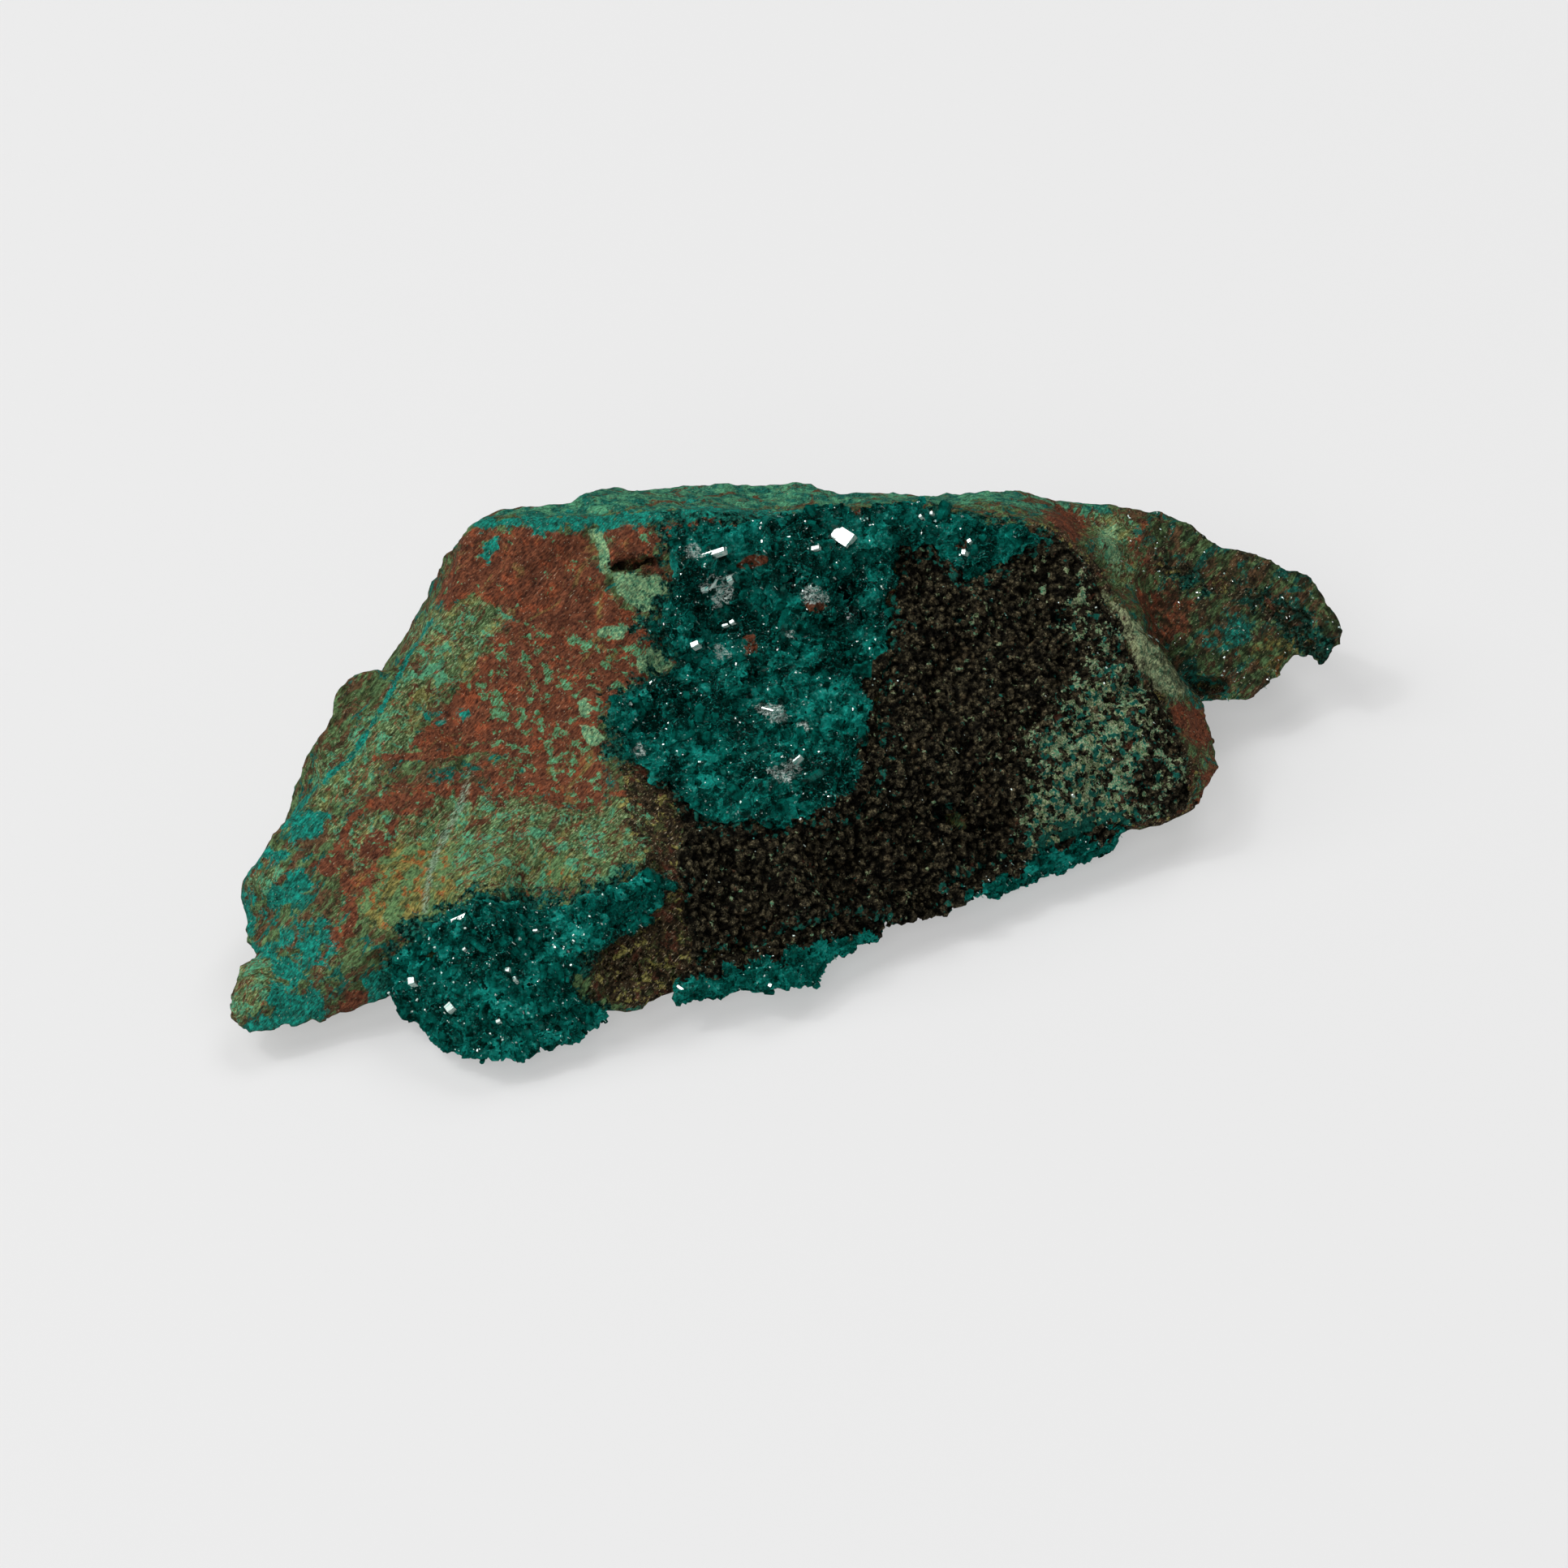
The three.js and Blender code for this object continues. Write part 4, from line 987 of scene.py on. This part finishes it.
def mass_material():
    """The cleaved mass of a druse: deep blue-green, part clear, with brown and silvered parts, painted shade
    in its pits, painted light where it is thin, and painted glints.
    """
    r = Recipe("dioptase_mass")
    fine = r.noise(0.22, 4, 0.7)
    slabs = r.turned(Vector((0.8, 0.1, 0.5)).normalized(), 1.8)
    depth = r.noise(2.4, 5, 0.62, None, 0.8)
    depth = r.swayed(depth, r.noise(5.5, 3, 0.55), 0.44, 0.8)
    depth = r.swayed(depth, r.cells(1.1, "Color", "F1", slabs), 0.3, 0.34)
    depth = r.swayed(depth, r.cells(0.45, "Color", "F1", slabs), 0.5, 0.17)
    # Painted light: the bright parts, thin margins among them, are lighter.
    depth = r.math("MULTIPLY_ADD", r.painted("bright"), 0.12, depth)
    # Painted shade: the deep parts, the pits among them, are darker.
    depth = r.math("MULTIPLY_ADD", r.painted("deep"), -0.30, depth)
    crack = r.noise(0.16, 4, 0.7, r.turned(Vector((0.5, -0.2, 0.8)).normalized(), 4.0))
    other_crack = r.noise(0.16, 4, 0.7, r.turned(Vector((0.9, 0.3, -0.3)).normalized(), 4.0))
    cracks = r.math("MAXIMUM", crack, other_crack)
    silver = r.edge(r.painted("silver"), r.noise(0.5, 4, 0.65), 1.2, 0.12)
    brown = r.mix(r.ramp(fine, 0.4, 0.6), "red_dark", "red")
    slab_edge = r.ramp(r.cells(1.1, "Distance", "DISTANCE_TO_EDGE", slabs), 0.0, 0.05, 0.6, 0.0)
    colour = r.layered(
        r.mix(r.ramp(depth, 0.50, 0.80), "dioptase_deep", "dioptase"),
        (r.ramp(depth, 0.72, 0.96, 0.0, 0.75), "dioptase_bright"),
        (r.ramp(fine, 0.52, 0.68, 0.0, 0.4), "dioptase_bright"),
        (r.ramp(fine, 0.32, 0.46, 0.5, 0.0), "dioptase_deep"),
        (r.edge(r.painted("brown"), r.noise(0.6, 4, 0.6), 1.0), brown),
        # Painted shade: the pits darken towards near-black.
        (r.ramp(r.painted("pit"), 0.25, 0.75), DRUSE_PIT_SHADE),
        (r.math("MULTIPLY", silver, r.ramp(cracks, 0.48, 0.60)), "cleavage"),
        (r.ramp(cracks, 0.735, 0.775, 0.0, 0.45), "cleavage"),
        (r.math("MULTIPLY", slab_edge, r.ramp(fine, 0.42, 0.58)), "dioptase_bright"),
        # Painted glints: tiny near-white dots in the cleavage colour.
        (r.ramp(r.noise(0.12, 1, 0.4), 0.785, 0.81, 0.0, 0.9), "cleavage"),
    )
    relief = r.bump(r.facets(0.75, 1.0), 1.0)
    relief = r.bump(r.facets(0.26, 1.1), 1.0, 1.0, relief)
    return r.set(
        Base_Color=colour,
        Roughness=r.ramp(fine, 0.3, 0.7, 0.07, 0.22),
        IOR=DIOPTASE_IOR,
        Specular_IOR_Level=0.4,
        Transmission_Weight=0.25,
        Normal=relief,
    )


def crystal_material():
    """Clear blue-green crystal."""
    r = Recipe("dioptase_crystal")
    depth = r.noise(1.1, 3, 0.6)
    colour = r.layered(
        r.mix(r.ramp(depth, 0.36, 0.58), "dioptase_deep", "dioptase"),
        (r.ramp(depth, 0.56, 0.76, 0.0, 0.7), "dioptase_bright"),
    )
    return r.set(
        Base_Color=colour,
        Roughness=0.06,
        IOR=DIOPTASE_IOR,
        Specular_IOR_Level=0.5,
        Transmission_Weight=0.45,
        Normal=r.bump(r.noise(0.3, 2, 0.5), 0.02, 0.5),
    )


def flake_material():
    """Bright cleavage faces, silvered by fine cracks under them; their near-white colour is partly a painted
    glint.
    """
    r = Recipe("dioptase_cleavage")
    streaks = r.noise(0.16, 3, 0.7, r.turned(Vector((0.6, 0.2, 0.4)).normalized(), 6.0))
    return r.set(
        Base_Color=r.mix(r.ramp(streaks, 0.36, 0.50), "dioptase_bright", "cleavage"),
        Roughness=r.ramp(streaks, 0.3, 0.7, 0.12, 0.4),
        IOR=DIOPTASE_IOR,
        Coat_Weight=1.0,
        Coat_Roughness=0.08,
        Normal=r.bump(streaks, 0.02, 0.6),
    )


def floor_material():
    """A pale light table: half of its light comes from below, which keeps the shadows light."""
    r = Recipe("studio_floor")
    return r.set(
        Base_Color=r.colour("floor"),
        Roughness=r.ramp(r.noise(60, 2, 0.5), 0.3, 0.7, 0.85, 0.95),
        Specular_IOR_Level=0.1,
        Emission_Color=(1, 1, 1, 1),
        Emission_Strength=TABLE_GLOW,
    )


def colour_property(name, description, value):
    return bpy.props.FloatVectorProperty(
        name=name, description=description, default=value, size=3, min=0, max=1, subtype="COLOR"
    )


def length_property(name, description, millimetres):
    return bpy.props.FloatProperty(
        name=name, description=description, default=millimetres / 1000, min=0.00002, max=0.02, precision=5,
        unit="LENGTH"
    )


class SpecimenColours(bpy.types.PropertyGroup):
    """Colours of the specimen's surfaces, in linear light."""

    olive: colour_property("Olive", "Dark olive ground of the rock", (0.058, 0.0725, 0.0261))
    green: colour_property("Green", "Mottled green of the rock", (0.1232, 0.232, 0.0899))
    # Painted shade on the lobe, laid on as dark grains.
    shadow_olive: colour_property("Shadow olive", "Dark grains of the lobe", (0.010, 0.014, 0.006))
    dry_green: colour_property("Dry green", "Pale dry side of the ridge", (0.38, 0.44, 0.24))
    pale_green: colour_property("Pale green", "Light strands in the green", (0.3045, 0.435, 0.2175))
    mint: colour_property("Mint", "Pale blue-green coating", (0.087, 0.3117, 0.1668))
    beige: colour_property("Beige", "Palest specks on the crust", (0.47, 0.51, 0.31))
    brown: colour_property("Brown", "Brown of the rock", (0.1232, 0.0667, 0.0319))
    ochre: colour_property("Ochre", "Yellow-green stain", (0.2755, 0.2465, 0.0696))
    orange: colour_property("Orange", "Orange stain", (0.3045, 0.1232, 0.0348))
    red: colour_property("Red", "Iron stain", (0.2001, 0.0661, 0.0316))
    red_bright: colour_property("Bright red", "Fresh iron stain", (0.29, 0.0725, 0.029))
    red_dark: colour_property("Dark red", "Darker iron stain", (0.1015, 0.0348, 0.0188))
    straw: colour_property("Straw", "Pale flecks and glints", (0.5742, 0.4829, 0.3262))
    teal: colour_property("Teal", "Bright blue-green coating", (0.0087, 0.2714, 0.2036))
    teal_dull: colour_property("Dull teal", "Darker blue-green coating", (0.0099, 0.1356, 0.0986))
    grey: colour_property("Grey", "Silver-grey streak", (0.2175, 0.3045, 0.2175))
    crust: colour_property("Crust", "Brown-black of the crust", (0.012, 0.0097, 0.005))
    crust_light: colour_property("Light crust", "Lighter grains of the crust", (0.110, 0.093, 0.052))
    crust_brown: colour_property("Brown crust", "Browner parts of the crust", (0.0624, 0.0416, 0.0208))
    dioptase_deep: colour_property("Deep dioptase", "Darkest blue-green", (0.0007, 0.0198, 0.0143))
    dioptase: colour_property("Dioptase", "Blue-green of the crystals", (0.0029, 0.1584, 0.1224))
    dioptase_bright: colour_property("Bright dioptase", "Lightest blue-green", (0.0128, 0.432, 0.352))
    # Also the near-white of the painted glints.
    cleavage: colour_property("Cleavage", "Silvered cleavage faces", (0.620, 0.740, 0.680))
    floor: colour_property("Floor", "Pale light table", (0.390, 0.390, 0.390))


class SpecimenSizes(bpy.types.PropertyGroup):
    """Sizes of the modelling steps and of the crystals."""

    rock_grid: length_property("Rock grid", "Spacing of the rock's surface points", 0.41)
    crust_grid: length_property("Crust grid", "Spacing of the dark crust's surface points", 0.182)
    druse_grid: length_property("Druse grid", "Spacing of the druses' surface points", 0.24)
    smallest_crystal: length_property("Smallest crystal", "Half width of the smallest crystals", 0.10)
    largest_crystal: length_property("Largest crystal", "Half width of the largest crystals", 0.62)


def millimetres(size):
    """One of the specimen's sizes, in millimetres."""
    return round(getattr(bpy.context.scene.specimen_sizes, size) * 1000, 4)


def rock_stains(rock, base):
    """Paints where each stain and coating of the rock lies, and where the lobe gets painted shade."""
    below_crust = 0.62 * (1 - smooth(1.0, 2.6, gaps_to(tree_of("dark_crust"), base, 3.0)))
    beside_druse = 0.60 * (1 - smooth(0.2, 3.4, gaps_to(tree_of(*DRUSES), base, 4.0)))
    for name, outlines, feather, halo in (
        ("red", RED_STAIN, 1.7, 0),
        ("pale", PALE_COATING, 0.8, 0),
        ("teal", TEAL_COATING, 1.7, 0),
        ("green", GREEN_MOTTLE, 1.7, 0),
        ("ochre", OCHRE_STAIN, 1.7, 0),
        ("strip", TOP_STRIP, 1.7, 0),
        ("dark", DARK_REMNANT, 1.7, below_crust),
        ("drusy", DRUSY_COATING, 1.7, beside_druse),
    ):
        share = np.maximum(coverage(rock, outlines, feather), halo)
        if name in FAINT_STAINS:
            share = np.maximum(share, FAINT * coverage(rock, FAINT_STAINS[name], 1.7))
        if name == "red":
            wisps = along_lines(rock, [(line, WISP_HALF_WIDTH) for line in WISPS])
            share = np.maximum(share, WISP_STRENGTH * wisps)
        paint(rock, name, share)
    stained(rock, "flecked", FLECKED, 2.5)
    stained(rock, "ridge", RIDGE, 1.2)
    paint(rock, "vein", VEIN_STRENGTH * along_lines(rock, VEINS))
    paint(rock, "grey", GREY_STRENGTH * along_lines(rock, [(GREY_STREAK, GREY_HALF_WIDTH)]))
    across, up = on_picture_plane(places_of(rock)).T
    # Painted shade: where the lobe is darkened.
    paint(rock, "lobe", smooth(30.0, 34.0, across) * smooth(32.5, 35.0, up))


class SPECIMEN_OT_host_rock(bpy.types.Operator):
    """Roughens and stains the host rock"""

    bl_idname = "specimen.host_rock"
    bl_label = "Host rock"

    def execute(self, context):
        rock = cad_copy("host_rock", "host_rock_detailed")
        shaped(rock, "REMESH", mode="VOXEL", voxel_size=millimetres("rock_grid"))
        without_crumbs(rock)
        shaped(rock, "SMOOTH", factor=0.5, iterations=6)
        base = places_of(rock)
        cover = smooth(0.5, 1.6, gaps_to(tree_of(*SKINS), base, 2.0))
        off_table = smooth(0.0, 1.5, base[:, 2])
        raised(rock, noisy(base, rock_relief) * (0.25 + 0.75 * cover) * off_table)
        paint(rock, "pit", sunk(rock, ROCK_PITS, 2.0))
        rock_stains(rock, base)
        rounded_off(rock)
        rock.data.materials.append(rock_material())
        flakes = flakes_on(rock, sparkles(*LOBE_GLITTER, 3), 0.10, 0.14)
        flakes.data.materials.append(flake_material())
        finished(joined(rock, flakes), "host_rock")
        return {"FINISHED"}


class SPECIMEN_OT_dark_crust(bpy.types.Operator):
    """Covers the dark crust with nodules"""

    bl_idname = "specimen.dark_crust"
    bl_label = "Dark crust"

    def execute(self, context):
        crust = cad_copy("dark_crust", "dark_crust_detailed")
        shaped(crust, "REMESH", mode="VOXEL", voxel_size=millimetres("crust_grid"))
        shaped(crust, "SMOOTH", factor=0.5, iterations=4)
        wandered(crust, ((0.75, 2.8), (0.40, 1.1), (0.15, 0.5)))
        base = places_of(crust)
        near = 1 - smooth(0.3, 2.2, gaps_to(tree_of(*DRUSES), base, 3.0))
        top = noisy(base, nodules)
        raised(crust, noisy(base, crust_relief))
        pit = sunk(crust, CRUST_PITS, 0.9)
        # Painted shade: how far down between the nodules, or in a pit, each vertex lies, for the crust
        # material to darken.
        paint(crust, "gap", np.maximum(1 - top, pit))
        paint(crust, "near_druse", np.maximum(near, 0.9 * pit))
        thick = coverage(crust, SPECKLED, 2.0, 1.5)
        thin = coverage(crust, THINLY_SPECKLED, 1.2, 1.2)
        paint(crust, "speckle", np.maximum(thick, 0.6 * thin))
        rounded_off(crust)
        crust.data.materials.append(crust_material())
        flakes = flakes_on(crust, sparkles(*CRUST_GLITTER, 9), 0.08, 0.16)
        flakes.data.materials.append(flake_material())
        finished(joined(crust, flakes), "dark_crust")
        return {"FINISHED"}


def crust_cover(bed, crusting):
    """How much of a druse's bed the dark crust has grown over: an outline's inside, or patches beside it."""
    if crusting is None:
        return coverage(bed, CRUSTED, 0.5)
    places = places_of(bed)
    beside_crust = 1 - smooth(0.5, 3.4, gaps_to(tree_of("dark_crust"), places, 4.0))
    patches = np.array([noise.fractal(Vector(place) / 1.9, 0.8, 2.1, 4) for place in places])
    return smooth(0.40, 0.56, crusting * beside_crust + 0.35 * patches)


def druse_relief(bed, facet, crusted):
    """Raises cleavage faces on a druse's bed, and nodules where it is crusted."""
    def cleaved(place):
        return cleaved_relief(place, facet, 0.7, 0.35) + cleaved_relief(place, 0.45 * facet, 0.8, 0.12)

    places = places_of(bed)
    raised(bed, noisy(places, cleaved) * (1 - crusted) + noisy(places, crust_relief) * crusted)
    # Painted shade: how far down between the nodules each vertex lies, for the crust material to darken.
    paint(bed, "gap", 1 - noisy(places, nodules))


def druse_stains(bed, pit, pale):
    """Paints a druse's inclusions, silvered parts, painted shade in its pits, its deep parts, and its bright
    parts, with painted light where it is thin.
    """
    # Painted light: the mass is lighter where it is thin over the rock, as if light shone through it.
    thin = 1 - smooth(0.4, 1.9, gaps_to(tree_of("host_rock"), places_of(bed), 3.0))
    bright = np.maximum(coverage(bed, BRIGHT_PARTS, 1.5), 0.8 * thin)
    stained(bed, "brown", INCLUSIONS, 0.5, 0.6)
    stained(bed, "silver", SILVER_PATCHES, 0.6, 0.5)
    paint(bed, "pit", pit)
    # Painted shade: the pits are darkened along with the outlined deep parts.
    paint(bed, "deep", np.maximum(coverage(bed, DEEP_PARTS, 1.2), 1.5 * pit))
    paint(bed, "bright", (bright + pale) * (1 - pit))


def grown_druse(node, facet, crystals, pale, crusting, flashes, glitter, seed):
    """A druse: the cleaved mass of the CAD node, crystals standing on it and flakes that catch the light."""
    bed = cad_copy(node, node + "_grown")
    shaped(bed, "REMESH", mode="VOXEL", voxel_size=millimetres("druse_grid"))
    shaped(bed, "SMOOTH", factor=0.5, iterations=2)
    wandered(bed, ((0.75, 2.8), (0.30, 0.9)))
    crusted = crust_cover(bed, crusting)
    druse_relief(bed, facet, crusted)
    pit = sunk(bed, DRUSE_PITS, 1.7)
    keep_above_table(bed)
    druse_stains(bed, pit, pale)
    bed.data.materials.append(mass_material())
    bed.data.materials.append(crust_material())
    for polygon in bed.data.polygons:
        polygon.material_index = int(crusted[polygon.vertices[0]] > 0.5)

    bare = np.maximum(crusted, 1.4 * pit)
    widths = (millimetres("smallest_crystal"), millimetres("largest_crystal") * min(1.0, facet / 2))
    grown = crystals_on(bed, tree_of("host_rock"), bare, crystals, widths, seed)
    keep_above_table(grown)
    grown.data.materials.append(crystal_material())
    parts = [grown]
    bright = flake_material()
    for spots, proud, waver in ((flashes, 0.50, 0.03), (sparkles(*glitter, seed), 0.12, 0.14)):
        flakes = flakes_on(bed, spots, proud, waver)
        flakes.data.materials.append(bright)
        parts.append(flakes)
    finished(joined(bed, *parts), node)


class SPECIMEN_OT_main_druse(bpy.types.Operator):
    """Grows the main druse"""

    bl_idname = "specimen.main_druse"
    bl_label = "Main druse"

    def execute(self, context):
        grown_druse("dioptase_main_druse", **DRUSES["dioptase_main_druse"])
        return {"FINISHED"}


class SPECIMEN_OT_edge_druses(bpy.types.Operator):
    """Grows the sparkling druses along the lower edge"""

    bl_idname = "specimen.edge_druses"
    bl_label = "Edge druses"

    def execute(self, context):
        for node, growth in DRUSES.items():
            if node != "dioptase_main_druse":
                grown_druse(node, **growth)
        return {"FINISHED"}


def disc_light(name, direction, size, power, mirrored):
    bpy.ops.object.select_all(action="DESELECT")
    place = direction.normalized() * LIGHT_DISTANCE
    bpy.ops.object.light_add(type="AREA", location=place)
    light = bpy.context.object
    light.name = name
    light.data.shape = "DISK"
    light.data.size = size
    light.data.energy = power
    light.visible_glossy = mirrored
    light.rotation_euler = (-place).to_track_quat("-Z", "Y").to_euler()


def studio_world(scene):
    """A soft grey surround that the crystals don't mirror."""
    world = bpy.data.worlds.new("studio_world")
    world.use_nodes = True
    background = world.node_tree.nodes["Background"]
    background.inputs["Color"].default_value = (1, 1, 1, 1)
    background.inputs["Strength"].default_value = WORLD_GLOW
    scene.world = world
    world.cycles_visibility.glossy = False


def studio_camera(scene):
    bpy.ops.object.select_all(action="DESELECT")
    bpy.ops.object.camera_add(location=CAMERA_TARGET * 0.001 + TO_VIEWER * CAMERA_DISTANCE)
    camera = bpy.context.object
    camera.rotation_euler = (-TO_VIEWER).to_track_quat("-Z", "Y").to_euler()
    camera.data.lens = 300
    camera.data.sensor_width = 36
    camera.data.clip_start = 0.05
    scene.camera = camera


class SPECIMEN_OT_stage(bpy.types.Operator):
    """Sets the floor, the lights and the camera"""

    bl_idname = "specimen.stage"
    bl_label = "Studio"

    def execute(self, context):
        bpy.ops.object.select_all(action="DESELECT")
        bpy.ops.mesh.primitive_plane_add(size=6, location=(0, 0, 0))
        floor = context.object
        floor.name = "studio_floor"
        floor.data.materials.append(floor_material())
        floor.visible_glossy = False
        for name, light in LIGHTS.items():
            disc_light(name, *light)
        studio_world(context.scene)
        studio_camera(context.scene)
        context.scene.view_settings.view_transform = "Standard"
        context.scene.view_settings.look = "None"
        return {"FINISHED"}


class SPECIMEN_PT_panel(bpy.types.Panel):
    """Lists the steps, sizes and colours in the sidebar"""

    bl_label = "Dioptase specimen"
    bl_space_type = "VIEW_3D"
    bl_region_type = "UI"
    bl_category = "Specimen"

    def draw(self, context):
        for step in STEPS:
            self.layout.operator(step.bl_idname)
        for group in (context.scene.specimen_sizes, context.scene.specimen_colours):
            for name in group.bl_rna.properties.keys():
                if name not in ("rna_type", "name"):
                    self.layout.prop(group, name)


STEPS = (
    SPECIMEN_OT_stage,
    SPECIMEN_OT_host_rock,
    SPECIMEN_OT_dark_crust,
    SPECIMEN_OT_main_druse,
    SPECIMEN_OT_edge_druses,
)
CLASSES = (SpecimenColours, SpecimenSizes, *STEPS, SPECIMEN_PT_panel)


def register():
    for kind in CLASSES:
        bpy.utils.register_class(kind)
    bpy.types.Scene.specimen_sizes = bpy.props.PointerProperty(type=SpecimenSizes)
    bpy.types.Scene.specimen_colours = bpy.props.PointerProperty(type=SpecimenColours)


def unregister():
    del bpy.types.Scene.specimen_colours
    del bpy.types.Scene.specimen_sizes
    for kind in reversed(CLASSES):
        bpy.utils.unregister_class(kind)


def main():
    register()
    bpy.ops.specimen.stage()
    bpy.ops.specimen.host_rock()
    bpy.ops.specimen.dark_crust()
    bpy.ops.specimen.main_druse()
    bpy.ops.specimen.edge_druses()


if __name__ == "__main__":
    main()
